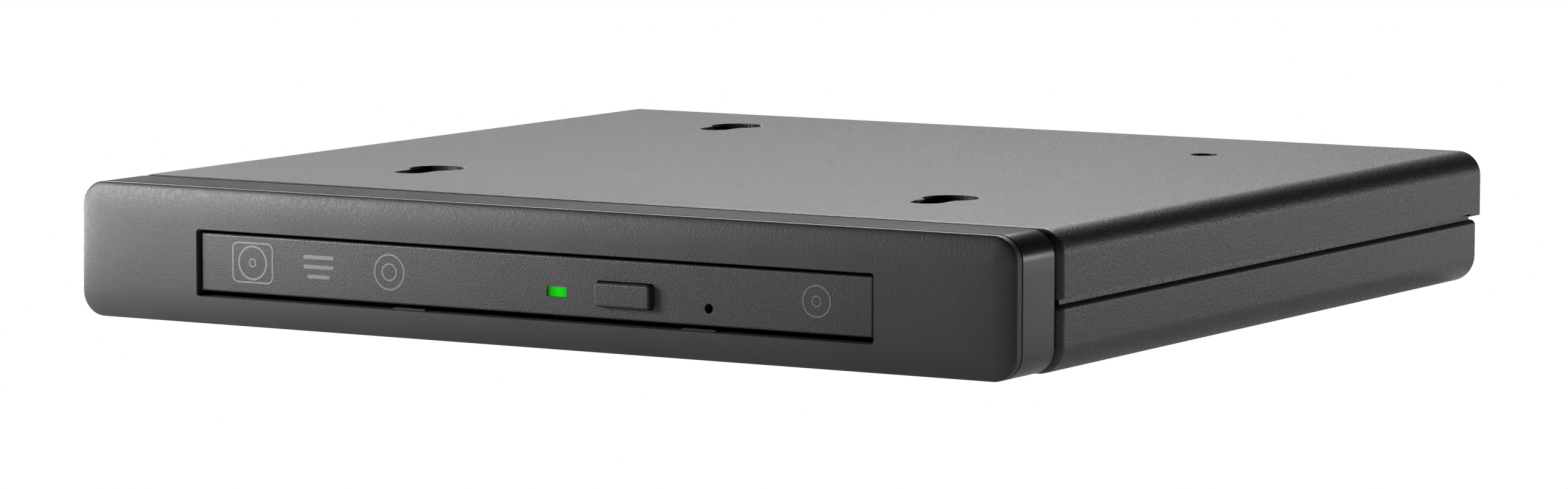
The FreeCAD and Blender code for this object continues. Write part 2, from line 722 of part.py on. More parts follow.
def rim(inset, wall):
    """Two loops: a rim inside the front's outline."""
    loops = []
    for step in (inset, f"{inset} + {wall}"):
        left = f"-bezel_width / 2 + {step}"
        right = f"bezel_width / 2 - ({step})"
        loops.append(rounded(left, right, step, f"bezel_height - ({step})", f"bezel_corner - ({step})"))
    return loops


def window_loop(grow):
    """The window's loop, grown on every side."""
    return rounded(
        f"drive_x - window_width / 2 - {grow}",
        f"drive_x + window_width / 2 + {grow}",
        f"window_sill - {grow}",
        f"window_sill + window_height + {grow}",
        f"window_corner + {grow}",
    )


def hook_places():
    return [f"{sign} * {name}" for name in ("hook_near", "hook_far") for sign in (-1, 1)]


def make_bezel_band():
    body = new_body("bezel_band", "module")
    outline = ("-bezel_width / 2", "bezel_width / 2", "0", "bezel_height", "bezel_corner")
    pad(body, "XZ", "band_start", "band_end", rounded(*outline))
    soften(body, "band_edge", lambda edge, at: near(at.y, value("band_end")))
    pad(body, "XZ", "band_end - 0.5", "case_start", rim("band_wall - spigot_wall", "spigot_wall")[0])
    pocket(body, "XZ", "band_start - 1", "case_start + 1", rim("band_wall", "0.1")[0])
    pocket(body, "XZ", "band_start - 1", "tongue_end + 0.1", rim("seam_inset - snap_clearance", "0.1")[0])
    for place in hook_places():
        left, right = f"{place} - hook_width / 2", f"{place} + hook_width / 2"
        catch = "case_start + case_sheet"
        for inner, outer, barb in hook_levels():
            pad(body, "XZ", "tongue_end + 1", f"{catch} + hook_reach", rectangle(left, right, inner, outer))
            pad(body, "XZ", f"{catch} + 0.1", f"{catch} + hook_reach", rectangle(left, right, *barb))


def hook_levels():
    """Heights of the lower and upper hooks, and of their barbs."""
    low, high = "band_wall", "bezel_height - band_wall"
    return [
        (low, f"{low} + hook_thick", (f"{low} - hook_barb", low)),
        (f"{high} - hook_thick", high, (high, f"{high} + hook_barb")),
    ]


# Steel case


def hook_slots(upper):
    """Slots in a shell's front wall for the snap hooks."""
    inner, outer, _ = hook_levels()[1 if upper else 0]
    return [
        rectangle(
            f"{place} - hook_width / 2 - 0.3", f"{place} + hook_width / 2 + 0.3", f"{inner} - 0.3", f"{outer} + 0.3"
        )
        for place in hook_places()
    ]


def shell(body, low, high, rear, bend, inner_low, inner_high):
    """A folded pan: long bends at one level, rounded ends, hollow inside."""
    pad(body, "XZ", "case_start", rear, rectangle("-case_half", "case_half", low, high))
    level = value("case_top" if bend == "top_bend" else "case_low")
    soften(body, bend, lambda edge, at: runs_along(edge, 1) and near(at.z, level))
    ends = [value(name) for name in ("case_start", rear)]
    open_level = value(low if bend == "top_bend" else high)

    def end_edge(edge, at):
        return any(near(at.y, end) for end in ends) and not near(at.z, open_level)

    soften(body, "end_round", end_edge)
    inside = rounded("-inner_half", "inner_half", inner_low, inner_high, f"{bend} - case_sheet")
    pocket(body, "XZ", "case_start + case_sheet", f"{rear} - case_sheet", inside)


def make_top_cover():
    body = new_body("top_cover", "module")
    lowest = "split_high - rear_tab_drop"
    shell(body, lowest, "case_top", "case_rear", "top_bend", f"{lowest} - 9", "case_top - case_sheet")
    gate = ("drive_x - drive_width / 2 - 1.2", "drive_x + drive_width / 2 + 1.2")
    gate_top = "drive_lift + drive_height + 0.8"
    pocket(body, "XZ", "case_start - 1", "case_start + 2", rectangle(*gate, f"{lowest} - 1", gate_top))
    pocket(body, "XZ", "case_start - 1", "case_start + 1.5", *hook_slots(True))
    tab_end, tail = "case_start + front_tab_length", "case_rear - rear_tab_length"
    steps = [
        rectangle("case_start - 1", tab_end, f"{lowest} - 1", "split_high - front_tab_drop"),
        rectangle(tab_end, tail, f"{lowest} - 1", "split_high"),
    ]
    for step in steps:
        pocket(body, "YZ", "-case_half - 1", "case_half + 1", step)
    holes = [("-keyhole_half", "keyhole_front"), ("-keyhole_half", "keyhole_back"), ("keyhole_half", "keyhole_front")]
    for x, y in holes:
        pocket(body, "XY", "case_top - 2", "case_top + 1", circle(x, y, "keyhole_head / 2"))
        slot = rounded(
            f"{x} - keyhole_slot / 2",
            f"{x} + keyhole_slot / 2",
            f"{y} - keyhole_run - keyhole_slot / 2",
            y,
            "keyhole_slot / 2 - 0.01",
        )
        pocket(body, "XY", "case_top - 2", "case_top + 1", slot)
    fourth = circle("keyhole_half", "keyhole_back - keyhole_run", "lock_hole / 2")
    pocket(body, "XY", "case_top - 2", "case_top + 1", fourth)
    screws = [circle(f"{sign} * cover_screw_x", "cover_screw_z", "screw_radius + 0.2") for sign in (-1, 1)]
    pocket(body, "XZ", "case_rear - 2", "case_rear + 1", *screws)


def bracket_screw_places():
    return [
        (f"drive_x + {side} * (chassis_half + case_sheet + bracket_out) / 2", f"bracket_start + {along}")
        for side in (-1, 1)
        for along in ("6", "bracket_length - 6")
    ]


def standoff_places():
    return [(x, y) for x in ("adaptor_left + 4", "adaptor_right - 4") for y in ("adaptor_front + 4", "adaptor_back - 4")]


def make_base_tray():
    body = new_body("base_tray", "module")
    shell(body, "case_low", "split_low", "base_rear", "bottom_bend", "floor_top", "split_low + 9")
    shoulder = value("split_low")
    half = value("case_half")

    def shoulder_edge(edge, at):
        return runs_along(edge, 1) and near(at.z, shoulder) and near(abs(at.x), half)

    soften(body, "lip_round", shoulder_edge)
    for side in (-1, 1):
        lip = polygon(
            (f"{side} * (inner_half + 0.05)", "split_low - case_sheet"),
            (f"{side} * (inner_half + 0.05)", "split_low"),
            (f"{side} * lip_x", "split_low"),
            (f"{side} * lip_x", "split_low + lip_rise"),
            (f"{side} * (lip_x - case_sheet)", "split_low + lip_rise"),
            (f"{side} * (lip_x - case_sheet)", "split_low - case_sheet"),
        )
        pad(body, "XZ", "case_start + lip_end_gap", "base_rear - lip_end_gap", lip)
    back_lip = rectangle("-cover_screw_x - 8", "cover_screw_x + 8", "split_low - 0.5", "cover_screw_z + screw_boss")
    pad(body, "XZ", "base_rear - case_sheet", "base_rear", back_lip)
    for side in (-1, 1):
        pad(
            body,
            "XZ",
            "base_rear - 0.5",
            "case_rear - case_sheet",
            circle(f"{side} * cover_screw_x", "cover_screw_z", "screw_boss"),
        )
    screws = [circle(f"{side} * cover_screw_x", "cover_screw_z", "screw_radius") for side in (-1, 1)]
    pocket(body, "XZ", "base_rear - 2", "case_rear", *screws)
    gate = ("drive_x - drive_width / 2 - 1.2", "drive_x + drive_width / 2 + 1.2")
    pocket(body, "XZ", "case_start - 1", "case_start + 2", rectangle(*gate, "drive_lift - 1", "split_low + 1"))
    pocket(body, "XZ", "case_start - 1", "case_start + 1.5", *hook_slots(False))
    for x, y in standoff_places():
        pad(body, "XY", "floor_top - 0.2", "adaptor_low", circle(x, y, "standoff_radius"))
    holes = [circle(x, y, "screw_radius") for x, y in bracket_screw_places()]
    pocket(body, "XY", "case_low - 1", "floor_top + 1", *holes)
    vents = []
    for row in range(5):
        front = f"vent_front + {row} * vent_pitch"
        for left in ("-vent_length * 1.2", "vent_length * 0.2"):
            vents.append(rectangle(left, f"{left} + vent_length", front, f"{front} + vent_width"))
    pocket(body, "XY", "case_low - 1", "floor_top + 0.5", *vents)
    port = rounded(
        "inlet_x - inlet_width / 2 - 0.3",
        "inlet_x + inlet_width / 2 + 0.3",
        "adaptor_top - 0.3",
        "adaptor_top + inlet_height + 0.3",
        "0.6",
    )
    pocket(body, "XZ", "base_rear - 2", "base_rear + 1", port)


def make_feet():
    feet = []
    for side in (-1, 1):
        for y in ("foot_front", "foot_back"):
            x = f"{side} * foot_side"
            feet.append(cylinder(x, y, "case_low - foot_height", "foot_size / 2", "foot_height"))
    keep(group(*feet), "rubber_feet", "module")


def make_case_screws():
    shank = ("screw_radius", "screw_head", "screw_head_height")
    covers = []
    for side in (-1, 1):
        head = cylinder(f"{side} * cover_screw_x", "case_rear", "cover_screw_z", "screw_head", "screw_head_height", "y")
        stem_start = "case_rear - screw_length"
        stem = cylinder(f"{side} * cover_screw_x", stem_start, "cover_screw_z", "screw_radius", "screw_length", "y")
        covers.append(fuse(head, stem))
    keep(group(*covers), "cover_screws", "module")
    flat = "foot_height * 0.5"
    feet = [
        screw(x, y, f"case_low - {flat}", "z", shank[0], shank[1], flat, "case_sheet * 2 + 0.2")
        for x, y in bracket_screw_places()
    ]
    keep(group(*feet), "bracket_screws", "module")


# Carriers and electronics in the case


def make_bracket(side, label):
    body = new_body(label, "drive")
    foot_low = "floor_top - drive_lift"
    inner, outer = f"{side} * chassis_half", f"{side} * (chassis_half + case_sheet)"
    far = f"{side} * bracket_out"
    section = polygon(
        (inner, foot_low),
        (far, foot_low),
        (far, f"{foot_low} + case_sheet"),
        (outer, f"{foot_low} + case_sheet"),
        (outer, "bracket_rise"),
        (inner, "bracket_rise"),
    )
    end = "bracket_start + bracket_length"
    pad(body, "XZ", "bracket_start", end, section)
    bend_x, bend_z = value(outer), value(f"{foot_low} + case_sheet")
    soften(body, "case_sheet", lambda edge, at: runs_along(edge, 1) and near(at.x, bend_x) and near(at.z, bend_z))
    for start in ("bracket_start + 14", f"{end} - 14 - shelf_length"):
        shelf = rectangle(f"{side} * (chassis_half - shelf_reach)", outer, f"{start}", f"{start} + shelf_length")
        pad(body, "XY", "-case_sheet", "0", shelf)
    for x, y in bracket_screw_places()[:2] if side < 0 else bracket_screw_places()[2:]:
        pocket(body, "XY", f"{foot_low} - 1", f"{foot_low} + 2", circle(f"{x} - drive_x", y, "screw_radius"))
    holes = [circle(y, "groove_mid", "tiny_screw") for y in drive_screw_places()]
    first, last = (inner, f"{outer} + 1") if side > 0 else (f"{outer} - 1", inner)
    pocket(body, "YZ", f"{first} - 0.5", f"{last} + 0.5", *holes)


def drive_screw_places():
    return ["bracket_start + 7", "bracket_start + bracket_length - 7"]


def make_drive_screws():
    heads = []
    for y in drive_screw_places():
        reach = "case_sheet + chassis_sheet"
        right = "chassis_half + case_sheet"
        for side, along in ((1, "-x"), (-1, "x")):
            start = f"{side} * ({right} + tiny_head_height)"
            heads.append(screw(start, y, "groove_mid", along, "tiny_screw", "tiny_head", "tiny_head_height", reach))
    keep(group(*heads), "drive_screws", "drive")


def make_adaptor():
    body = new_body("adaptor_board", "module")
    outline = rectangle("adaptor_left", "adaptor_right", "adaptor_front", "adaptor_back")
    pad(body, "XY", "adaptor_low", "adaptor_top", outline)

    top = "adaptor_top"
    parts = [
        box("-6", "4", "148", "158", top, f"{top} + 1"),
        box("12", "17", "152", "155.2", top, f"{top} + 1.2"),
        box("-26", "-20", "146", "150", top, f"{top} + 1.6"),
        cylinder("-22", "158", top, "2.5", "5.6"),
        cylinder("-14", "160", top, "2", "5"),
        box("44", "52", "146", "152", top, f"{top} + 3"),
    ]
    keep(group(*parts), "board_chips", "module")

    inlet = new_body("usb_inlet", "module")
    left, right = "inlet_x - inlet_width / 2", "inlet_x + inlet_width / 2"
    low, high, back = "adaptor_top", "adaptor_top + inlet_height", "base_rear + 0.2"
    pad(inlet, "XZ", f"{back} - inlet_length", back, rounded(left, right, low, high, "0.9"))
    hollow = rounded(
        f"{left} + inlet_wall", f"{right} - inlet_wall", f"{low} + inlet_wall", f"{high} - inlet_wall", "0.5"
    )
    pocket(inlet, "XZ", f"{back} - inlet_length + 1.5", f"{back} + 1", hollow)
    tongue = rectangle("inlet_x - 2.4", "inlet_x + 2.4", "adaptor_top + 1.6", "adaptor_top + 2.3")
    pad(inlet, "XZ", f"{back} - inlet_length + 1.4", f"{back} - 1", tongue)

    plug = new_body("drive_connector", "drive")
    pad(plug, "XY", "chassis_sheet", "plug_high", rectangle("plug_left", "plug_right", "plug_front", "plug_back"))
    tongue_low, tongue_high = "chassis_sheet + 1.6", "chassis_sheet + 3"
    tongue = rectangle("plug_left + 3", "plug_right - 3", tongue_low, tongue_high)
    pad(plug, "XZ", "plug_back - 0.5", "plug_back + plug_tongue", tongue)

    socket = new_body("drive_socket", "module")
    left, right = "drive_x + plug_left - 1", "drive_x + plug_right + 1"
    front = "plug_back + 0.1"
    pad(socket, "XY", "adaptor_top", "drive_lift + plug_high", rectangle(left, right, front, f"{front} + 6"))
    slit = rectangle(
        "drive_x + plug_left + 2.85",
        "drive_x + plug_right - 2.85",
        f"drive_lift + {tongue_low} - 0.15",
        f"drive_lift + {tongue_high} + 0.15",
    )
    pocket(socket, "XZ", f"{front} - 1", f"{front} + plug_tongue + 0.3", slit)


# Drive casing


def corner_tabs():
    """Middles of the four tabs that the top cover is screwed to."""
    x = "wall_in - tab_size / 2"
    return [
        (f"{side} * ({x})", y) for side in (-1, 1) for y in ("body_start + tab_inset", "body_end - tab_inset")
    ]


def make_chassis():
    body = new_body("drive_chassis", "drive")
    section = polygon(
        ("-chassis_half", "0"),
        ("chassis_half", "0"),
        ("chassis_half", "cover_low"),
        ("wall_in", "cover_low"),
        ("wall_in", "chassis_sheet"),
        ("-wall_in", "chassis_sheet"),
        ("-wall_in", "cover_low"),
        ("-chassis_half", "cover_low"),
    )
    pad(body, "XZ", "body_start", "body_end - cover_sheet", section)
    soften(body, "chassis_bend", lambda edge, at: runs_along(edge, 1) and near(at.z, 0))
    back = rectangle("-wall_in - 0.1", "wall_in + 0.1", "chassis_sheet - 0.1", "cover_low")
    pad(body, "XZ", "chassis_back", "body_end - cover_sheet", back)
    for x, y in corner_tabs():
        tab = rectangle(f"{x} - tab_size / 2 - 0.1", f"{x} + tab_size / 2 + 0.1", f"{y} - 3", f"{y} + 3")
        pad(body, "XY", "cover_low - chassis_sheet", "cover_low", tab)
    gate = rectangle("plug_left - 0.4", "plug_right + 0.4", "chassis_sheet", "plug_high + 0.4")
    pocket(body, "XZ", "chassis_back - 1", "body_end + 1", gate)
    for side in (-1, 1):
        holes = [circle(y, "groove_mid", "tiny_screw") for y in drive_screw_places()]
        middle = f"{side} * (chassis_half + wall_in) / 2"
        pocket(body, "YZ", f"{middle} - 0.5", f"{middle} + 0.5", *holes)


def make_drive_top():
    body = new_body("drive_top_cover", "drive")
    half = "drive_width / 2"
    section = polygon(
        (f"-{half}", "drive_height - skirt_height"),
        ("-chassis_half", "drive_height - skirt_height"),
        ("-chassis_half", "cover_low"),
        ("chassis_half", "cover_low"),
        ("chassis_half", "drive_height - skirt_height"),
        (half, "drive_height - skirt_height"),
        (half, "drive_height"),
        (f"-{half}", "drive_height"),
    )
    pad(body, "XZ", "body_start", "body_end", section)
    top = value("drive_height")
    soften(body, "cover_sheet", lambda edge, at: runs_along(edge, 1) and near(at.z, top))
    back = rectangle("-chassis_half - 0.1", "chassis_half + 0.1", "drive_height - skirt_height", "cover_low + 0.1")
    pad(body, "XZ", "body_end - cover_sheet", "body_end", back)


# Rails


def make_guide(side, label):
    body = new_body(label, "drive")
    top, low = "groove_mid + groove_height / 2", "groove_mid - groove_height / 2"
    slot_top, slot_low = "groove_mid + slot_height / 2", "groove_mid - slot_height / 2"
    back, mouth = "wall_in - channel_wall", "guide_in + channel_wall"
    corners = [
        ("wall_in", "chassis_sheet"),
        ("wall_in", f"{top} + channel_wall"),
        ("guide_in", f"{top} + channel_wall"),
        ("guide_in", slot_top),
        (mouth, slot_top),
        (mouth, top),
        (back, top),
        (back, low),
        (mouth, low),
        (mouth, slot_low),
        ("guide_in", slot_low),
        ("guide_in", "chassis_sheet"),
    ]
    section = polygon(*[(f"{side} * ({x})", z) for x, z in corners])
    pad(body, "XZ", "guide_start", "guide_start + guide_length", section)


def make_rail(side, label):
    body = new_body(label, "drive")
    outer, inner = "rail_out - rail_flange", "rail_in + rail_flange"
    corners = [
        ("rail_out", "flange_low"),
        ("rail_out", "flange_high"),
        (outer, "flange_high"),
        (outer, "web_high"),
        (inner, "web_high"),
        (inner, "flange_high"),
        ("rail_in", "flange_high"),
        ("rail_in", "flange_low"),
        (inner, "flange_low"),
        (inner, "web_low"),
        (outer, "web_low"),
        (outer, "flange_low"),
    ]
    section = polygon(*[(f"{side} * ({x})", z) for x, z in corners])
    pad(body, "XZ", "rail_start", "rail_end", section)


# Tray


def under_cover_loop(shrink):
    """The bottom cover's outline, drawn in on every side."""
    left, right = f"-under_left + {shrink}", f"under_right - {shrink}"
    front, back = f"under_front + {shrink}", f"under_back - {shrink}"
    corner_x, corner_y = f"notch_x - 1.6 - {shrink}", f"notch_y - 1.5 - {shrink}"
    return polygon(
        (left, front),
        (right, front),
        (right, corner_y),
        (corner_x, corner_y),
        (corner_x, back),
        (left, back),
    )


def plate_loop(grow):
    """The traverse cover's outline in its own directions, grown on every side."""
    cut_back = "frame_cut"
    return [
        (f"plate_start - {grow}", f"-plate_half - {grow}"),
        (f"plate_end - {cut_back}", f"-plate_half - {grow}"),
        (f"plate_end + {grow}", f"-plate_half + {cut_back}"),
        (f"plate_end + {grow}", f"plate_half - {cut_back}"),
        (f"plate_end - {cut_back}", f"plate_half + {grow}"),
        (f"plate_start - {grow}", f"plate_half + {grow}"),
    ]


def damper_places():
    return [("-15", "-15"), ("-12", "19"), ("38", "-19.8")]


def cover_boss_places():
    left = "-under_left + 5.6"
    return [(left, "12"), ("under_right - 3.8", "11"), (left, "98"), ("notch_x - 7", "122.4")]


def board_boss_places():
    return [("-38", "98"), ("under_right - 6.4", "98"), ("-10", "121")]


def make_tray():
    body = new_body("tray", "drive")
    outline = polygon(
        ("-tray_half", "tray_start"),
        ("tray_half", "tray_start"),
        ("tray_half", "notch_y"),
        ("notch_x", "notch_y"),
        ("notch_x", "tray_end"),
        ("-tray_half", "tray_end"),
    )
    pad(body, "XY", "tray_bottom", "tray_rim", outline)
    back_y = value("tray_end")
    soften(body, "tray_corner", lambda edge, at: runs_along(edge, 2) and near(at.y, back_y))
    pocket(body, "XY", "well_floor", "tray_rim + 1", circle("0", "disc_y", "well_radius"))
    for side in (-1, 1):
        near_x, far_x = f"{side} * (well_radius - 12)", f"{side} * (well_radius + 2)"
        opening = rectangle(near_x, far_x, "disc_y - side_cut", "disc_y + side_cut")
        pocket(body, "XY", "well_floor", "tray_rim + 1", opening)
    pocket(body, "XY", "small_floor", "well_floor + 1", circle("0", "disc_y", "small_radius"))
    pocket(body, "XY", "small_floor", "tray_rim + 1", polygon(*[turned(x, y) for x, y in plate_loop("seat_slack")]))
    pocket(body, "XY", "tray_bottom - 1", "seat_top", under_cover_loop("-seat_slack"))
    pocket(body, "XY", "tray_bottom - 1", "ceiling", under_cover_loop("tray_wall"))
    hole = [("window_start - 1", "-1"), ("window_end - 0.4", "-1"), ("window_end - 0.4", "1"), ("window_start - 1", "1")]
    aperture = polygon(*[turned(x, f"{sign} * (window_half + 0.2)") for x, sign in hole])
    pocket(body, "XY", "ceiling - 1", "tray_rim + 1", aperture)
    pocket(body, "XY", "ceiling - 1", "tray_rim + 1", circle("0", "disc_y", "spindle_hole"))
    relief = [
        ("motor_start", "motor_in"),
        ("motor_end", "motor_in"),
        ("motor_end", "motor_out"),
        ("motor_start", "motor_out"),
    ]
    signs = [(-1, -1), (1, -1), (1, 1), (-1, 1)]
    motor_room = polygon(*[turned(f"{x} + {0.2 * i}", f"{y} + {0.2 * j}") for (x, y), (i, j) in zip(relief, signs)])
    pocket(body, "XY", "ceiling - 1", "motor_high + 0.1", motor_room)
    cut_grooves(body)
    cut_latch_room(body)
    cut_front_openings(body)
    bay = rectangle("plunger_x - 3.5", "plunger_x + 3.5", "plunger_bay", "under_back - 0.4")
    pocket(body, "XY", "tray_bottom", "plunger_h + 2.2", bay)
    rod_hole = circle("plunger_x", "plunger_h", "plunger_radius + bore_slack")
    pocket(body, "XZ", "under_back - 2", "tray_end + 1", rod_hole)
    add_tray_bosses(body)


def cut_grooves(body):
    """Channels along both sides that hold the rails' inner flanges."""
    top, low = "groove_mid + groove_height / 2", "groove_mid - groove_height / 2"
    slot_top, slot_low = "groove_mid + slot_height / 2", "groove_mid - slot_height / 2"
    lip, depth = "tray_half - channel_wall", "tray_half - channel_wall - channel_depth"
    corners = [
        ("tray_half + 1", slot_low),
        ("tray_half + 1", slot_top),
        (lip, slot_top),
        (lip, top),
        (depth, top),
        (depth, low),
        (lip, low),
        (lip, slot_low),
    ]
    for side in (-1, 1):
        section = polygon(*[(f"{side} * ({x})", z) for x, z in corners])
        pocket(body, "XZ", "tray_start + 2", "tray_end + 1", section)


def cut_latch_room(body):
    """The channel that the lock post runs in, and room for the latch beside it."""
    left, right = "post_x - channel_half", "post_x + channel_half"
    pocket(body, "XY", "tray_bottom - 1", "ceiling - 0.1", rectangle(left, right, "post_y - 4", "notch_y + 1"))
    bay = rectangle("under_right - 1.5", f"{left} + 0.5", "post_y - 2", "pivot_y + 3.4")
    pocket(body, "XY", "seat_top", "ceiling", bay)


def cut_front_openings(body):
    """Openings in the front wall for button, lamp and emergency release, and room for the switch."""
    stem = rectangle("button_x - 2.3", "button_x + 2.3", "button_h - 0.8", "button_h + 0.5")
    lamp = rectangle("led_x - led_width / 2", "led_x + led_width / 2", "led_h - led_height / 2", "led_h + led_height / 2")
    release = rectangle(
        "pinhole_x - slide_width / 2 - 0.1", "pinhole_x + slide_width / 2 + 0.1", "seat_top", "ceiling"
    )
    pocket(body, "XZ", "tray_start - 1", "under_front + tray_wall + 0.5", stem, lamp, release)
    room = rectangle("button_x - 6", "button_x + 6", "under_front + tray_wall", "under_front + 5")
    pocket(body, "XY", "ceiling - 0.5", "ceiling + 1", room)


def add_tray_bosses(body):
    for x, y in cover_boss_places():
        pad(body, "XY", "seat_top", "ceiling + 0.2", circle(x, y, "tiny_head + 0.2"))
    for x, y in board_boss_places():
        pad(body, "XY", "board_low + board_thick", "ceiling + 0.2", circle(x, y, "tiny_head + 0.2"))


def make_tray_under():
    body = new_body("tray_bottom_cover", "drive")
    pad(body, "XY", "tray_bottom", "seat_top", under_cover_loop("0"))
    window = rectangle("flex_x - 1", "flex_x + flex_width + 1", "flex_rise - 3", "flex_rise + 3")
    service = circle("0", "disc_y", "bush_radius + 2")
    pocket(body, "XY", "tray_bottom - 1", "seat_top + 1", window, service)


def make_drive_bezel():
    body = new_body("drive_bezel", "drive")
    low = "drive_height / 2 - face_height / 2"
    high = "drive_height / 2 + face_height / 2"
    pad(body, "XZ", "face_recess", "tray_start", rectangle("-face_width / 2", "face_width / 2", low, high))
    front = value("face_recess")
    soften(body, "face_edge", lambda edge, at: near(at.y, front))
    inside = rectangle(
        "-face_width / 2 + face_wall", "face_width / 2 - face_wall", f"{low} + face_wall", f"{high} - face_wall"
    )
    pocket(body, "XZ", "skin_back", "tray_start + 1", inside)
    half_w, half_h = "(button_width / 2 + button_gap)", "(button_height / 2 + button_gap)"
    button = rounded(
        f"button_x - {half_w}", f"button_x + {half_w}", f"button_h - {half_h}", f"button_h + {half_h}", "button_edge"
    )
    lamp = rectangle("led_x - led_width / 2", "led_x + led_width / 2", "led_h - led_height / 2", "led_h + led_height / 2")
    pin_hole = circle("pinhole_x", "pinhole_h", "pinhole_size / 2")
    pocket(body, "XZ", "face_recess - 1", "skin_back + 1", button, lamp, pin_hole)
    for x in ("-44", "-8", "46"):
        clip = rectangle(f"{x} - clip_width / 2", f"{x} + clip_width / 2", "tray_rim", "tray_rim + clip_height")
        pad(body, "XZ", "skin_back - 0.5", "tray_start + 3.6", clip)

    lens = new_body("led_lens", "drive")
    window = rectangle(
        "led_x - led_width / 2 + 0.03",
        "led_x + led_width / 2 - 0.03",
        "led_h - led_height / 2 + 0.03",
        "led_h + led_height / 2 - 0.03",
    )
    pad(lens, "XZ", "face_recess + led_recess", "under_front + tray_wall - 0.2", window)


def make_button():
    body = new_body("eject_button", "drive")
    front = "face_recess - button_proud"
    half_w, half_h = "button_width / 2", "button_height / 2"
    loop = rounded(
        f"button_x - {half_w}", f"button_x + {half_w}", f"button_h - {half_h}", f"button_h + {half_h}", "button_edge"
    )
    pad(body, "XZ", front, "skin_back + 0.3", loop)
    nose = value(front)
    soften(body, "button_edge - 0.1", lambda edge, at: near(at.y, nose))
    collar_w, collar_h = f"({half_w} + button_flange)", f"({half_h} + button_flange)"
    collar = rectangle(
        f"button_x - {collar_w}", f"button_x + {collar_w}", f"button_h - {collar_h}", f"button_h + {collar_h}"
    )
    pad(body, "XZ", "skin_back + 0.05", "skin_back + 0.75", collar)
    stem = rectangle("button_x - 2", "button_x + 2", "button_h - 0.6", "button_h + 0.35")
    pad(body, "XZ", "skin_back + 0.5", "under_front + tray_wall - button_travel - 0.1", stem)


def make_tray_boards():
    front = "under_front + tray_wall"
    top = "board_low + board_thick"
    board = new_body("front_board", "drive")
    pad(board, "XY", "board_low", top, rectangle("led_x - 7.5", "pinhole_x - 4.5", front, f"{front} + 6"))
    keep(
        fuse(
            box("button_x - 3", "button_x + 3", front, f"{front} + 3", top, f"{top} + 1.9"),
            box("button_x - 1", "button_x + 1", f"{front} - 0.05", f"{front} + 1", f"{top} + 0.8", f"{top} + 1.6"),
        ),
        "eject_switch",
        "drive",
    )
    board = new_body("tray_board", "drive")
    outline = polygon(
        ("-44", "94"),
        ("under_right - 1.6", "94"),
        ("under_right - 1.6", "notch_y - 3.2"),
        ("notch_x - 3.2", "notch_y - 3.2"),
        ("notch_x - 3.2", "under_back - tray_wall"),
        ("-44", "under_back - tray_wall"),
    )
    pad(board, "XY", "board_low", top, outline)
    pocket(board, "XY", "board_low - 1", f"{top} + 1", circle("notch_x - 7", "122.4", "tiny_head + 0.4"))
    parts = [
        box("-24", "-10", "101", "115", top, f"{top} + 0.9"),
        box("2", "12", "103", "111", top, f"{top} + 0.8"),
        box("-36", "-28", "104", "112", top, f"{top} + 0.8"),
        box("18", "25", "100", "104", top, f"{top} + 0.7"),
        box("flex_x", "flex_x + flex_width", "flex_rise - 4", "flex_rise + 3.6", top, f"{top} + 0.9"),
        box("led_x - 1.2", "led_x + 1.2", f"{front} + 0.1", f"{front} + 1.8", top, f"{top} + 0.9"),
    ]
    keep(group(*parts), "tray_chips", "drive")


def make_flex():
    """Ribbon in one strip: along the chassis, round its fold, back under the tray and up to the board."""
    body = new_body("flex_cable", "drive")
    low, gap = "chassis_sheet + 0.05", "0.16"
    first, second = f"{low} + flex_sheet", f"{low} + flex_sheet + {gap}"
    strip = polygon(
        ("plug_front", low),
        ("plug_front", first),
        ("flex_fold + flex_sheet", first),
        ("flex_fold + flex_sheet", second),
        ("flex_rise + flex_sheet", second),
        ("flex_rise + flex_sheet", "board_low"),
        ("flex_rise", "board_low"),
        ("flex_rise", f"{second} + 0.1"),
        ("flex_fold", f"{second} + 0.1"),
        ("flex_fold", low),
    )
    pad(body, "YZ", "flex_x", "flex_x + flex_width", strip)


# Traverse


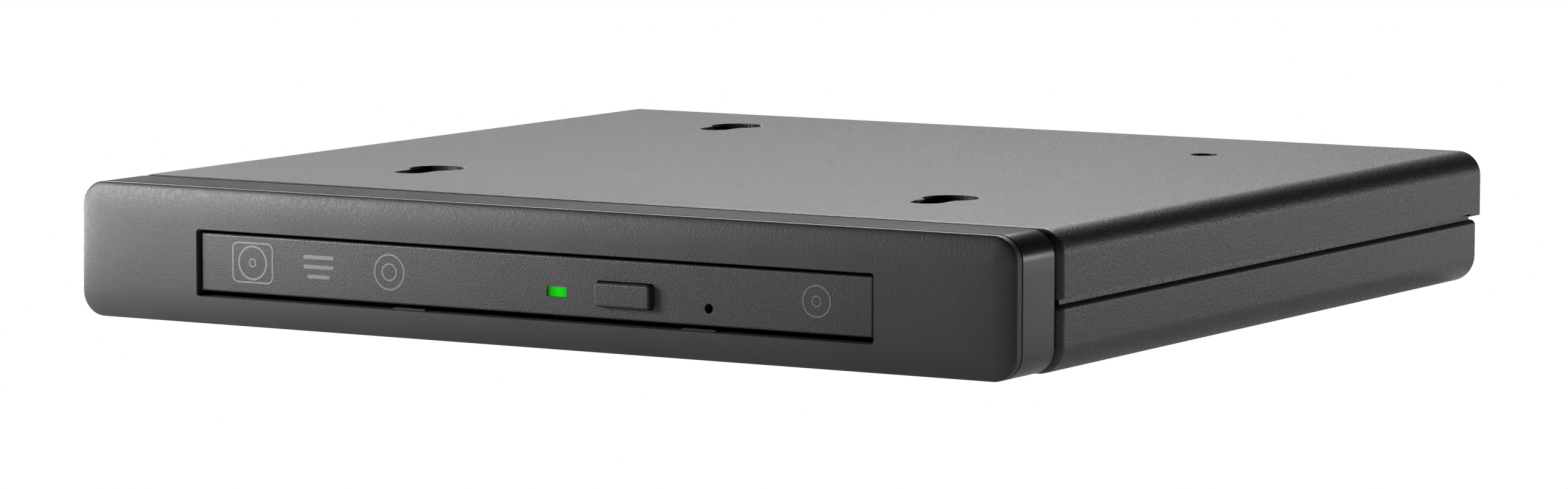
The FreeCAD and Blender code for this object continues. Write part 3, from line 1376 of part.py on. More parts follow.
def make_traverse_frame():
    body = new_body("traverse_frame", "traverse")
    outline = polygon(
        ("-17", "-10"),
        ("-10", "-frame_plain"),
        ("frame_end - frame_cut", "-frame_plain"),
        ("frame_end", "-frame_plain + frame_cut"),
        ("frame_end", "frame_screw - frame_cut"),
        ("frame_end - frame_cut", "frame_screw"),
        ("-6", "frame_screw"),
        ("-17", "10"),
    )
    pad(body, "XY", "frame_low", "frame_high", outline)
    side = "screw_offset + lead_radius + 0.5"
    pickup_window = polygon(
        ("window_start", "-window_half"),
        ("window_end - window_cut", "-window_half"),
        ("window_end", "-window_half + window_cut"),
        ("window_end", f"{side} - window_cut"),
        ("window_end - window_cut", side),
        ("window_start + 1", side),
        ("window_start + 1", "window_half"),
        ("window_start", "window_half"),
    )
    pocket(body, "XY", "frame_low - 1", "frame_high + 1", pickup_window)
    pocket(body, "XY", "frame_low - 1", "frame_high + 1", circle("0", "0", "rotor_radius + 0.5"))
    pocket(body, "XY", "frame_low - 1", "frame_low + base_thick", circle("0", "0", "base_radius + seat_slack"))
    motor_bay = rectangle("motor_start - 0.1", "motor_end", "motor_in - 0.1", "frame_screw + 1")
    pocket(body, "XY", "frame_low - 1", "frame_high + 1", motor_bay)
    for x, y in damper_places():
        pad(body, "XY", "ear_low", "ear_high", circle(x, y, "ear_radius"))
        pocket(body, "XY", "ear_high", "frame_high + 1", circle(x, y, "damper_flange + 0.2"))
        pocket(body, "XY", "frame_low - 1", "ear_low", circle(x, y, "damper_flange + 0.2"))
        pocket(body, "XY", "ear_low - 1", "ear_high + 1", circle(x, y, "damper_neck + bore_slack"))
    rods = [circle(f"{sign} * rod_offset", "rod_h", "rod_radius + 0.03") for sign in (-1, 1)]
    pocket(body, "YZ", "rod_start", "rod_end", *rods)
    pocket(body, "YZ", "motor_end - 1", "rod_end", circle("screw_offset", "rod_h", "lead_radius + bore_slack"))


def make_traverse_cover():
    body = new_body("traverse_cover", "traverse")
    pad(body, "XY", "small_floor", "small_floor + plate_sheet", polygon(*plate_loop("0")))
    pocket(body, "XY", "small_floor - 1", "small_floor + 1", circle("0", "0", "spindle_hole"))
    slot = rectangle("0", "plate_slot_end", "-plate_slot", "plate_slot")
    pocket(body, "XY", "small_floor - 1", "small_floor + 1", slot)


def make_dampers():
    """Rubber mushrooms that hold the frame's ears under the tray's floor."""
    mounts = []
    lower = "ear_low - 0.4"
    for x, y in damper_places():
        foot = cylinder(x, y, lower, "damper_flange", f"ear_low - ({lower})")
        neck = cylinder(x, y, lower, "damper_neck", f"ceiling - ({lower})")
        mounts.append(fuse(foot, neck))
    keep(group(*mounts), "traverse_dampers", "traverse")


def make_spindle():
    base = new_body("motor_base", "traverse")
    low = "frame_low"
    revolve(
        base,
        polygon(
            ("shaft_radius + bore_slack", low),
            ("base_radius", low),
            ("base_radius", f"{low} + base_thick"),
            ("bush_radius", f"{low} + base_thick"),
            ("bush_radius", "bush_top"),
            ("shaft_radius + bore_slack", "bush_top"),
        ),
    )
    stator = new_body("motor_stator", "traverse")
    first, top = f"{low} + base_thick + 0.4", "bush_top"
    pad(stator, "XY", first, top, circle("0", "0", "bush_radius + 2"), circle("0", "0", "bush_radius"))
    for step in range(9):
        pole = sector("0", "0", "bush_radius + 1.5", "stator_radius", f"{40 * step} - pole_width * 3",
                      f"{40 * step} + pole_width * 3")
        pad(stator, "XY", first, top, pole)

    table = new_body("turntable", "traverse")
    under = "table_high - table_thick"
    inner = "rotor_radius - rotor_wall"
    revolve(
        table,
        polygon(
            ("0", f"{low} + 0.1"),
            ("shaft_radius", f"{low} + 0.1"),
            ("shaft_radius", "bush_top + 0.3"),
            (inner, "bush_top + 0.3"),
            (inner, f"{low} + base_thick + 0.5"),
            ("rotor_radius", f"{low} + base_thick + 0.5"),
            ("rotor_radius", under),
            ("table_radius", under),
            ("table_radius", "table_high"),
            ("hub_radius", "table_high"),
            ("hub_radius", "hub_shoulder"),
            ("hub_nose", "hub_top"),
            ("0", "hub_top"),
        ),
    )
    for step in range(3):
        cut_ball_pocket(table, step)
    pad_ring = new_body("turntable_pad", "traverse")
    ring = (circle("0", "0", "pad_outer"), circle("0", "0", "pad_inner"))
    pad(pad_ring, "XY", "table_high", "table_high + pad_height", *ring)
    for step in range(3):
        ball = doc.addObject("Part::Sphere", "Ball")
        ball.setExpression("Radius", linked("ball_radius"))
        ball.Label = f"chuck_ball_{step + 1}"
        x, y = turned("ball_place * cos(%d)" % (120 * step), "ball_place * sin(%d)" % (120 * step))
        for axis, formula in zip("xyz", (f"drive_x + {x}", f"front_y + {y}", "drive_ground + ball_h")):
            ball.setExpression(f"Placement.Base.{axis}", linked(formula))
        made.append(ball)


def cut_ball_pocket(body, step):
    """A radial bore in the hub that a chuck ball moves in."""
    tool = body.newObject("PartDesign::SubtractiveCylinder", "Ball_bore")
    tool.MapMode = "Deactivated"
    angle = 120 * step
    tool.Placement = Placement(
        Vector(), Rotation(Vector(0, 0, 1), angle).multiply(Rotation(Vector(0, 1, 0), 90))
    )
    tool.setExpression("Radius", linked("ball_radius + bore_slack"))
    start = "(ball_place - ball_radius - ball_travel - 0.15)"
    tool.setExpression("Height", linked(f"hub_radius + 1 - {start}"))
    tool.setExpression("Placement.Base.x", linked(f"{start} * cos({angle})"))
    tool.setExpression("Placement.Base.y", linked(f"{start} * sin({angle})"))
    tool.setExpression("Placement.Base.z", linked("ball_h"))
    body.Tip = tool


def make_rods():
    rods = [
        cylinder("rod_start", f"{sign} * rod_offset", "rod_h", "rod_radius", "rod_end - rod_start", "x")
        for sign in (-1, 1)
    ]
    keep(group(*rods), "guide_rods", "traverse")


def make_feed():
    motor = new_body("feed_motor", "traverse")
    outline = rectangle("motor_start", "motor_end", "motor_in", "motor_out")
    pad(motor, "XY", "frame_low", "motor_high", outline)
    soften(motor, "0.8", lambda edge, at: runs_along(edge, 0))
    bore = circle("screw_offset", "rod_h", "lead_radius + bore_slack")
    pocket(motor, "YZ", "motor_end - 2", "motor_end + 1", bore)
    lead = cylinder("motor_end - 1.9", "screw_offset", "rod_h", "lead_radius", "rod_end - 0.4 - motor_end + 1.9", "x")
    keep(group(lead), "leadscrew", "traverse")


def make_sled():
    body = new_body("pickup_sled", "traverse")
    corner = "1.6"
    outline = polygon(
        ("sled_near", f"-sled_half + {corner}"),
        (f"sled_near + {corner}", "-sled_half"),
        ("sled_far - sled_cut", "-sled_half"),
        ("sled_far", "-sled_half + sled_cut"),
        ("sled_far", "sled_half"),
        (f"sled_near + {corner}", "sled_half"),
        ("sled_near", f"sled_half - {corner}"),
    )
    pad(body, "XY", "sled_low", "sled_high", outline)
    head = rounded("sled_near + 1.6", "sled_far - 0.4", "-head_half", "head_half", "1.2")
    pad(body, "XY", "sled_high - 0.5", "head_high", head)
    room = "holder_room"
    well = rounded(
        f"lens_x - holder_depth / 2 - {room}",
        f"lens_x + holder_depth / 2 + {room}",
        f"-holder_half - {room}",
        f"holder_half + {room}",
        "0.8",
    )
    pocket(body, "XY", f"holder_low - {room}", "head_high + 1", well)
    bore = circle("rod_offset", "rod_h", "rod_radius + bore_slack")
    pocket(body, "YZ", "sled_near - 1", "sled_far + 1", bore)
    fork = rectangle(
        "-sled_half - 1", "-rod_offset + rod_radius + 0.1", "rod_h - rod_radius - bore_slack", "rod_h + rod_radius + bore_slack"
    )
    pocket(body, "YZ", "sled_near - 1", "sled_far + 1", fork)
    reach = "screw_offset - lead_radius - bore_slack"
    nut = box("lens_x - 5", "lens_x + 2", "sled_half", reach, "rod_h - 0.6", "rod_h + 0.6")
    keep(group(nut), "sled_nut", "traverse")

    holder = new_body("lens_holder", "traverse")
    block = rounded("lens_x - holder_depth / 2", "lens_x + holder_depth / 2", "-holder_half", "holder_half", "0.7")
    pad(holder, "XY", "holder_low", "holder_high", block)
    pocket(holder, "XY", "holder_low - 1", "holder_high + 1", circle("lens_x", "0", "lens_radius + 0.02"))
    lens = new_body("objective_lens", "traverse")
    revolve(
        lens,
        polygon(
            ("0", "lens_low"),
            ("lens_radius", "lens_low"),
            ("lens_radius", "holder_high"),
            ("lens_radius * 0.8", "holder_high + (lens_high - holder_high) * 0.55"),
            ("lens_radius * 0.45", "holder_high + (lens_high - holder_high) * 0.9"),
            ("0", "lens_high"),
        ),
    )
    place_lens(lens)


def place_lens(body):
    """The lens is turned about its own axis, which stands at the lens's place on the sled."""
    x, y = turned("lens_x", "0")
    body.setExpression("Placement.Base.x", linked(f"drive_x + {x}"))
    body.setExpression("Placement.Base.y", linked(f"front_y + {y}"))


# Latch and ejection


def make_latch():
    post = cylinder("post_x", "post_y", "chassis_sheet", "post_radius", "post_top - chassis_sheet")
    keep(group(post), "lock_post", "drive")
    pivot = cylinder("pivot_x", "pivot_y", "seat_top", "pivot_radius", "ceiling - seat_top")
    keep(group(pivot), "latch_pin", "drive")
    body = new_body("latch_lever", "drive")
    span = ("latch_low", "latch_high")
    pad(body, "XY", *span, circle("pivot_x", "pivot_y", "latch_boss"))
    arm = rectangle(
        "pivot_x - latch_arm / 2", "pivot_x + latch_arm / 2", "pivot_y - hook_radius + 0.6", "pivot_y"
    )
    pad(body, "XY", *span, arm)
    hook = sector("pivot_x", "pivot_y", "hook_radius - latch_depth", "hook_radius", "-92", "hook_angle + 4.4")
    pad(body, "XY", *span, hook)
    tab = rectangle("pivot_x - tab_reach", "pivot_x", "pivot_y - tab_half", "pivot_y + tab_half")
    pad(body, "XY", *span, tab)
    pocket(body, "XY", "latch_low - 1", "latch_high + 1", circle("pivot_x", "pivot_y", "pivot_radius + bore_slack"))

    slide = new_body("release_slide", "drive")
    across = rectangle(
        "pinhole_x - slide_width / 2", "pinhole_x + slide_width / 2", "seat_top + 0.1", "ceiling - 0.1"
    )
    pad(slide, "XZ", "slide_start", "slide_end", across)

    front = "pivot_y + tab_half + magnet_gap"
    middle = "pivot_x - tab_reach * 0.8"
    low, high = "seat_top + 0.1", "ceiling - 0.05"
    coil = fuse(
        box(f"{middle} - magnet_half", f"{middle} + magnet_half", f"{front} + 1", f"{front} + 1.8", low, high),
        box(f"{middle} - magnet_half + 0.6", f"{middle} + magnet_half - 0.6", f"{front} + 1.8",
            f"{front} + magnet_length - 0.8", f"{low} + 0.15", f"{high} - 0.15"),
        box(f"{middle} - magnet_half", f"{middle} + magnet_half", f"{front} + magnet_length - 0.8",
            f"{front} + magnet_length", low, high),
        box(f"{middle} - 1.5", f"{middle} + 1.5", front, f"{front} + 1.2", f"{low} + 0.4", f"{high} - 0.4"),
    )
    keep(coil, "latch_magnet", "drive")


def make_plunger():
    body = new_body("eject_plunger", "drive")
    start = "spring_end"
    pad(body, "XZ", f"{start} - 6", f"{start} + 0.5", circle("plunger_x", "plunger_h", "spring_radius - spring_wire - 0.4"))
    pad(body, "XZ", start, f"{start} + 1.5", circle("plunger_x", "plunger_h", "plunger_collar"))
    pad(body, "XZ", f"{start} + 1", "plunger_tip", circle("plunger_x", "plunger_h", "plunger_radius"))

    start = "plunger_bay + 0.3"
    turns = [
        cylinder("plunger_x", start, "plunger_h", f"spring_radius {sign} spring_wire", "spring_length", "y")
        for sign in "+-"
    ]
    keep(group(cut(*turns)), "eject_spring", "drive")


def check_all():
    """Stops if any object failed or any sub-part's shape is missing or broken."""
    for piece in doc.Objects:
        if "Invalid" in piece.State or "Error" in piece.State:
            raise RuntimeError(f"{piece.Name} ({piece.Label}) failed: {piece.State}")
    for piece in made:
        if piece.Shape.isNull() or not piece.Shape.isValid() or not piece.Shape.Solids:
            raise RuntimeError(f"{piece.Label} has no sound shape")


def export_all():
    os.makedirs("parts", exist_ok=True)
    for piece in made:
        piece.Shape.exportStep(os.path.join("parts", piece.Label + ".step"))


fill_sheets()
make_front_cap()
make_bezel_band()
make_top_cover()
make_base_tray()
make_feet()
make_case_screws()
make_bracket(-1, "drive_bracket_left")
make_bracket(1, "drive_bracket_right")
make_drive_screws()
make_adaptor()
make_chassis()
make_drive_top()
make_guide(-1, "rail_guide_left")
make_guide(1, "rail_guide_right")
make_rail(-1, "rail_left")
make_rail(1, "rail_right")
make_tray()
make_tray_under()
make_drive_bezel()
make_button()
make_tray_boards()
make_flex()
make_traverse_frame()
make_traverse_cover()
make_dampers()
make_spindle()
make_rods()
make_feed()
make_sled()
make_latch()
make_plunger()
doc.recompute()
check_all()
export_all()
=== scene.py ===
import json
from math import cos, pi, radians, sin

import bmesh
import bpy
import numpy as np
from mathutils import Matrix, Vector


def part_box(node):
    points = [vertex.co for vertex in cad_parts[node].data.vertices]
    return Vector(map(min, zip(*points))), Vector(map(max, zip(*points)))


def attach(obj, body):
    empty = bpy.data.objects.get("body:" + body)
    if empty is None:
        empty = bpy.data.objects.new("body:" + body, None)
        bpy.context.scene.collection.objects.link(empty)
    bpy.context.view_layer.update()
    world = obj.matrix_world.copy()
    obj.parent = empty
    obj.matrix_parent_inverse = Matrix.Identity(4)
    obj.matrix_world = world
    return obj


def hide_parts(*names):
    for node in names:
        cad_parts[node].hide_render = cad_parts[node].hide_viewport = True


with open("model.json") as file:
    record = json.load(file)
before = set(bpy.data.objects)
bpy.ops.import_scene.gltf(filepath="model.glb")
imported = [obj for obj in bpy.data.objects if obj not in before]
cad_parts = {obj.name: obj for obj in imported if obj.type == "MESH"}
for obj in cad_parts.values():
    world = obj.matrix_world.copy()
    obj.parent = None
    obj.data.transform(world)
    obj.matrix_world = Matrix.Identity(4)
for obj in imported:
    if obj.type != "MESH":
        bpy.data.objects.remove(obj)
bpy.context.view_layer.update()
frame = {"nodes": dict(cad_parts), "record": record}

# X runs to the right, Y to the back and Z up, and the module stands on its feet at Z = 0. Places read from
# the frame are metres. Shapes are worked out in millimetres, and become metres when they are made pieces.
MM = 0.001
cap_low, cap_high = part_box("front_cap")
FRONT = cap_low.y  # the front face's plane
SILL = cap_low.z  # the front's lower edge
CAP_WIDTH = (cap_high.x - cap_low.x) / MM
CAP_HEIGHT = (cap_high.z - cap_low.z) / MM
CAP_CORNER = 4.2
CAP_REACH = 5.6  # how far in from its outline the front starts to fall back
CAP_FALL = 1.1  # how far back it lies at its outline
face_low, face_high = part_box("drive_bezel")
DRIVE_X = (face_low.x + face_high.x) / 2
DRIVE_Z = (face_low.z + face_high.z) / 2 - 4.75 * MM
DRIVE_PLACE = np.array([DRIVE_X, FRONT, DRIVE_Z]) / MM
SPINDLE = Vector((DRIVE_X, FRONT + 67.5 * MM, DRIVE_Z))
slot_of = {part["node"]: part["material_slot"] for part in frame["record"]["subparts"]}


# Materials


class Finish:
    """A material and short ways to add nodes to it."""

    def __init__(self, name):
        self.name = name
        self.material = bpy.data.materials.new(name)
        self.material.use_nodes = True
        self.tree = self.material.node_tree
        self.shader = self.tree.nodes["Principled BSDF"]
        self.place = self.node("ShaderNodeTexCoord").outputs["Object"]

    def node(self, kind, **settings):
        """A new node; each setting is one of its properties or, failing that, one of its sockets."""
        made = self.tree.nodes.new(kind)
        for key, val in settings.items():
            if hasattr(made, key):
                setattr(made, key, val)
            else:
                self.feed(made.inputs[key], val)
        return made

    def feed(self, socket, val):
        """Links another socket to this one, or sets its value."""
        if isinstance(val, bpy.types.NodeSocket):
            self.tree.links.new(val, socket)
        else:
            socket.default_value = val

    def set(self, **values):
        """Feeds the surface shader's sockets, named with an underscore for each space."""
        for key, val in values.items():
            self.feed(self.shader.inputs[key.replace("_", " ")], val)
        return self

    def mapped(self, scale=(1, 1, 1), turn=(0, 0, 0), shift=(0, 0, 0)):
        """Object coordinates scaled by axis, then turned in radians, then moved."""
        mapping = self.node("ShaderNodeMapping", Vector=self.place)
        mapping.inputs["Scale"].default_value = scale
        mapping.inputs["Rotation"].default_value = turn
        mapping.inputs["Location"].default_value = shift
        return mapping.outputs["Vector"]

    def along_x(self, vector):
        """The x part of a vector."""
        return self.node("ShaderNodeSeparateXYZ", Vector=vector).outputs["X"]

    def noise(self, size, detail=3.0, rough=0.55, where=None):
        """Noise whose blotches are about size metres across."""
        made = self.node("ShaderNodeTexNoise", Detail=detail, Roughness=rough, Scale=1 / size)
        self.feed(made.inputs["Vector"], where or self.place)
        return made.outputs["Fac"]

    def cells(self, size, feature="F1", output="Distance"):
        """Irregular cells about size metres across: the way to the nearest cell's middle, or its colour."""
        made = self.node("ShaderNodeTexVoronoi", feature=feature, Scale=1 / size)
        self.feed(made.inputs["Vector"], self.place)
        return made.outputs[output]

    def span(self, fac, low, high, to_low=0.0, to_high=1.0):
        """fac taken from low..high to to_low..to_high, held at both ends."""
        made = self.node("ShaderNodeMapRange", Value=fac)
        for key, val in (("From Min", low), ("From Max", high), ("To Min", to_low), ("To Max", to_high)):
            made.inputs[key].default_value = val
        return made.outputs["Result"]

    def math(self, operation, *values):
        """The result of one operation on its values in order."""
        made = self.node("ShaderNodeMath", operation=operation)
        for socket, val in zip(made.inputs, values):
            self.feed(socket, val)
        return made.outputs[0]

    def plus(self, a, b, weight):
        """a + b * weight."""
        return self.math("MULTIPLY_ADD", b, weight, a)

    def blend(self, fac, a, b):
        """Colour a where fac is 0 and b where it is 1."""
        made = self.node("ShaderNodeMix", data_type="RGBA")
        self.feed(made.inputs[0], fac)
        for socket, val in ((made.inputs[6], a), (made.inputs[7], b)):
            self.feed(socket, val if isinstance(val, bpy.types.NodeSocket) else (*val, 1))
        return made.outputs[2]

    def tint(self, colour, change):
        """Shifts the colour by a share either way in clouds 14 mm across, and gives back the clouds."""
        clouds = self.noise(14 * MM, 2.0)
        darker = [c * (1 - change) for c in colour]
        lighter = [c * (1 + change) for c in colour]
        self.set(Base_Color=self.blend(self.span(clouds, 0.35, 0.65), darker, lighter))
        return clouds

    def gloss(self, fac, rough, swing, middle=0.2):
        """Roughness that swings either way about rough as fac goes by middle to either side of a half."""
        return self.set(Roughness=self.span(fac, 0.5 - middle, 0.5 + middle, rough - swing, rough + swing))

    def bump(self, height, depth):
        """Relief of depth metres from a height of 0 to 1, over what is there already."""
        made = self.node("ShaderNodeBump", Height=height, Distance=depth, Strength=1.0)
        socket = self.shader.inputs["Normal"]
        if socket.is_linked:
            self.feed(made.inputs["Normal"], socket.links[0].from_socket)
        self.feed(socket, made.outputs["Normal"])
        return self


def grained_plastic(name, colour, rough, grain, depth, mottling=0.12):
    """Moulded plastic: fine pebbled grain, with colour and gloss that vary a little."""
    made = Finish(name)
    grains = made.plus(made.noise(grain, 2.0, 0.7), made.cells(grain * 1.4, "SMOOTH_F1"), 0.5)
    made.tint(colour, mottling)
    made.gloss(made.noise(grain * 3), rough, 0.05)
    return made.bump(grains, depth)


def smooth_plastic(name, colour, rough):
    """Moulded plastic without grain: slow waves and a faint cloudiness in colour and gloss."""
    made = Finish(name)
    clouds = made.tint(colour, 0.1)
    made.gloss(clouds, rough, 0.01)
    waves = made.noise(9 * MM, 1.0)
    return made.bump(waves, 0.004 * MM)


def powder_coat(name, colour, rough):
    """Textured powder coat on steel: wrinkled grains about half a millimetre across, over a slow peel."""
    made = Finish(name)
    wrinkles = made.noise(0.42 * MM, 2.0, 0.65)
    peel = made.noise(1.3 * MM, 1.0)
    specks = made.span(made.noise(0.3 * MM, 1.0), 0.6, 0.75)
    made.set(Base_Color=made.blend(specks, colour, [c * 1.8 for c in colour]))
    made.gloss(wrinkles, rough, -0.09, 0.15)
    made.bump(peel, 0.035 * MM)
    return made.bump(wrinkles, 0.065 * MM)


def metal(name, colour, rough, size, grain=(1, 1, 1), streak=0.08):
    """Plain metal: its gloss and tone vary in a grain of the given size, stretched by axis."""
    made = Finish(name)
    lines = made.noise(size, where=made.mapped(grain))
    dull = [c * (1 - streak) for c in colour]
    made.set(Metallic=1.0, Base_Color=made.blend(made.span(lines, 0.3, 0.7), dull, colour))
    made.set(Roughness=made.span(lines, 0.3, 0.7, rough + 0.08, rough - 0.04))
    return made.bump(lines, 0.004 * MM)


def zinc_plate(name, colour):
    """Zinc-coated sheet: large dull flakes over a fine rolled grain."""
    made = Finish(name)
    flakes = made.cells(5 * MM, output="Color")
    tone = made.node("ShaderNodeSeparateColor", Color=flakes).outputs[0]
    rolled = made.noise(0.5 * MM, where=made.mapped((1, 0.06, 1)))
    made.set(Metallic=1.0, Base_Color=made.blend(tone, [c * 0.86 for c in colour], colour))
    made.set(Roughness=made.plus(made.span(tone, 0, 1, 0.3, 0.4), rolled, 0.08))
    return made.bump(rolled, 0.003 * MM)


def circuit_board(name):
    """Lacquered board: slanting copper runs shimmer through the green in patches 6 mm across."""
    made = Finish(name)
    slanted = made.mapped((900, 900, 900), (0, 0, radians(45)))
    runs = made.node("ShaderNodeTexBrick", Vector=slanted, Scale=0.55)
    runs.inputs["Mortar Size"].default_value = 0.16
    patches = made.span(made.noise(6 * MM, 0.0), 0.5, 0.54)
    copper = made.math("MULTIPLY", runs.outputs["Fac"], patches)
    made.set(Base_Color=made.blend(copper, (0.006, 0.05, 0.022), (0.02, 0.13, 0.05)))
    made.gloss(made.noise(3 * MM), 0.28, 0.06)
    return made.bump(copper, 0.02 * MM)


def printed_ink(name, colour):
    """Pad-printed ink: thin, matt and slightly uneven."""
    made = Finish(name)
    worn = made.noise(0.5 * MM)
    made.set(Base_Color=made.blend(made.span(worn, 0.3, 0.7), [c * 0.75 for c in colour], colour))
    return made.gloss(worn, 0.55, 0.05)


def glowing_lens(name):
    """Tinted lens lit from behind: brightest right of its middle, and darker by the way from there."""
    made = Finish(name)
    low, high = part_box("led_lens")
    half = (high.x - low.x) / 2
    brightest = low.x + half * 1.25
    across = made.along_x(made.mapped((1 / half, 0, 0), shift=(-brightest / half, 0, 0)))
    glow = made.span(made.math("ABSOLUTE", across), 0.2, 1.15, 1.0, 0.12)
    cloud = made.span(made.noise(0.6 * MM), 0.3, 0.7, 0.85, 1.1)
    lit = made.blend(made.math("MULTIPLY", glow, cloud), (0.0, 0.14, 0.0), (0.0, 0.62, 0.0))
    made.set(Emission_Color=lit, Emission_Strength=0.9, Base_Color=(0.0, 0.12, 0.0, 1))
    return made.set(Roughness=0.45, Specular_IOR_Level=0.1)


def clear_glass(name, colour):
    """Coated glass, faintly tinted, with a slight haze that comes and goes."""
    made = Finish(name)
    made.set(Base_Color=(*colour, 1), Transmission_Weight=0.9, IOR=1.5, Coat_Weight=0.4)
    return made.gloss(made.noise(1 * MM), 0.04, 0.02)


def wound_copper(name, centre, pitch):
    """Enamelled wire: rings about an upright axis through the centre, one to a pitch."""
    made = Finish(name)
    wires = made.node("ShaderNodeTexWave", wave_type="RINGS", rings_direction="Z", Scale=0.31 / pitch)
    made.feed(wires.inputs["Vector"], made.mapped(shift=tuple(-c for c in centre)))
    made.set(Metallic=0.9, Roughness=made.span(wires.outputs["Fac"], 0, 1, 0.4, 0.24))
    made.set(Base_Color=made.blend(wires.outputs["Fac"], (0.2, 0.05, 0.02), (0.75, 0.32, 0.14)))
    return made.bump(wires.outputs["Fac"], 0.03 * MM)


def soft_rubber(name, shade):
    """Dark matt rubber with dust in its pores."""
    made = Finish(name)
    dust = made.noise(2.5 * MM, 4.0)
    made.set(Base_Color=made.blend(made.span(dust, 0.45, 0.8), [shade] * 3, [shade * 2.2] * 3))
    made.gloss(dust, 0.825, 0.075)
    return made.bump(made.noise(0.25 * MM), 0.03 * MM)


def ribbon_film(name):
    """Film ribbon: narrow conductors, 1 mm from one to the next, run along it under a pale skin."""
    made = Finish(name)
    lines = made.span(made.math("PINGPONG", made.along_x(made.mapped((2 / MM, 1, 1))), 1.0), 0.35, 0.6)
    made.set(Base_Color=made.blend(lines, (0.62, 0.56, 0.42), (0.42, 0.3, 0.14)))
    made.gloss(made.noise(1 * MM), 0.36, 0.06)
    return made.bump(lines, 0.02 * MM)


finish_list = [
    grained_plastic("cap_plastic", (0.028, 0.028, 0.028), 0.5, 0.24 * MM, 0.038 * MM),
    smooth_plastic("band_plastic", (0.017, 0.017, 0.017), 0.29),
    powder_coat("case_steel", (0.026, 0.026, 0.027), 0.42),
    soft_rubber("rubber", 0.016),
    metal("dark_screw", (0.08, 0.08, 0.085), 0.4, 0.3 * MM),
    metal("bright_screw", (0.62, 0.62, 0.6), 0.26, 0.3 * MM),
    zinc_plate("zinc_sheet", (0.6, 0.6, 0.58)),
    circuit_board("board_green"),
    grained_plastic("chip_black", (0.014, 0.014, 0.015), 0.5, 0.15 * MM, 0.008 * MM),
    metal("port_shell", (0.72, 0.72, 0.72), 0.18, 0.4 * MM, (1, 0.2, 1)),
    grained_plastic("plug_black", (0.018, 0.018, 0.018), 0.42, 0.3 * MM, 0.01 * MM),
    grained_plastic("rail_plastic", (0.7, 0.69, 0.63), 0.38, 0.5 * MM, 0.008 * MM, 0.03),
    metal("rail_metal", (0.66, 0.66, 0.66), 0.24, 0.35 * MM, (1, 0.04, 1)),
    grained_plastic("tray_plastic", (0.024, 0.024, 0.025), 0.46, 0.35 * MM, 0.02 * MM),
    grained_plastic("face_plastic", (0.031, 0.031, 0.031), 0.42, 0.2 * MM, 0.05 * MM),
    glowing_lens("lamp"),
    ribbon_film("ribbon"),
    metal("frame_grey", (0.3, 0.3, 0.31), 0.5, 0.8 * MM, streak=0.2),
    wound_copper("coil_copper", SPINDLE, 0.25 * MM),
    metal("rotor_steel", (0.55, 0.55, 0.54), 0.3, 0.5 * MM),
    metal("ball_steel", (0.78, 0.78, 0.78), 0.1, 0.6 * MM),
    metal("sled_dark", (0.36, 0.36, 0.37), 0.42, 0.7 * MM, streak=0.15),
    grained_plastic("holder_black", (0.02, 0.02, 0.022), 0.4, 0.3 * MM, 0.01 * MM),
    clear_glass("lens_glass", (0.55, 0.6, 0.95)),
    grained_plastic("latch_plastic", (0.66, 0.66, 0.6), 0.36, 0.5 * MM, 0.006 * MM, 0.03),
]
finishes = {made.name: made for made in finish_list}

for node, slot in slot_of.items():
    mesh = frame["nodes"][node].data
    mesh.materials.clear()
    mesh.materials.append(finishes[slot].material)


# Shapes: grids of points worked out as whole arrays, in millimetres until they are made pieces


class Shape:
    """Collects closed grids of points and makes one piece of them."""

    def __init__(self):
        self.points = []
        self.faces = []
        self.count = 0

    def grid(self, points, ring=False):
        """Adds a surface from rows of points, each row a closed loop.

        The rows join in a ring, or else the first and the last are closed by a flat lid. Where the volume
        that the faces enclose, a sixth of the sum of a . (b x c) over their triangles, comes out negative,
        they are turned round, so that they point outwards.
        """
        points = np.asarray(points, float)
        rows, columns = points.shape[:2]
        index = np.arange(rows * columns).reshape(rows, columns)
        if ring:
            index = np.concatenate([index, index[:1]])
        index = np.concatenate([index, index[:, :1]], axis=1)
        quads = np.stack([index[:-1, :-1], index[:-1, 1:], index[1:, 1:], index[1:, :-1]], -1).reshape(-1, 4)
        lids = [] if ring else [index[0, :-1][::-1], index[-1, :-1]]
        flat = points.reshape(-1, 3)
        centred = flat - flat.mean(0)
        a, b, c, d = (centred[quads[:, i]] for i in range(4))
        volume = (np.cross(b - a, c - a) * a).sum() + (np.cross(c - a, d - a) * a).sum()
        for lid in lids:
            fan = centred[lid]
            volume += (np.cross(fan[1:-1] - fan[0], fan[2:] - fan[0]) * fan[0]).sum()
        turn = 1 if volume > 0 else -1
        self.faces += [(face[::turn] + self.count).tolist() for face in [*quads, *lids]]
        self.points.append(flat)
        self.count += len(flat)
        return self

    def placed(self, place):
        """The same shape with its points taken through a function."""
        other = Shape()
        other.points = [place(np.concatenate(self.points))]
        other.faces = self.faces
        other.count = self.count
        return other

    def add(self, other):
        """Takes in another shape's grids."""
        self.faces += [[i + self.count for i in face] for face in other.faces]
        self.points += other.points
        self.count += other.count
        return self

    def make(self, name, body, slot, finish=None, stands_for=(), angle=35):
        """Makes the piece in metres, smooth except at edges sharper than the angle."""
        mesh = bpy.data.meshes.new(name)
        mesh.from_pydata((np.concatenate(self.points) * MM).tolist(), [], self.faces)
        mesh.shade_smooth()
        mesh.set_sharp_from_angle(angle=radians(angle))
        piece = bpy.data.objects.new(name, mesh)
        bpy.context.collection.objects.link(piece)
        mesh.materials.append((finish or finishes[slot]).material)
        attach(piece, body)
        if stands_for:
            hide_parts(*stands_for)


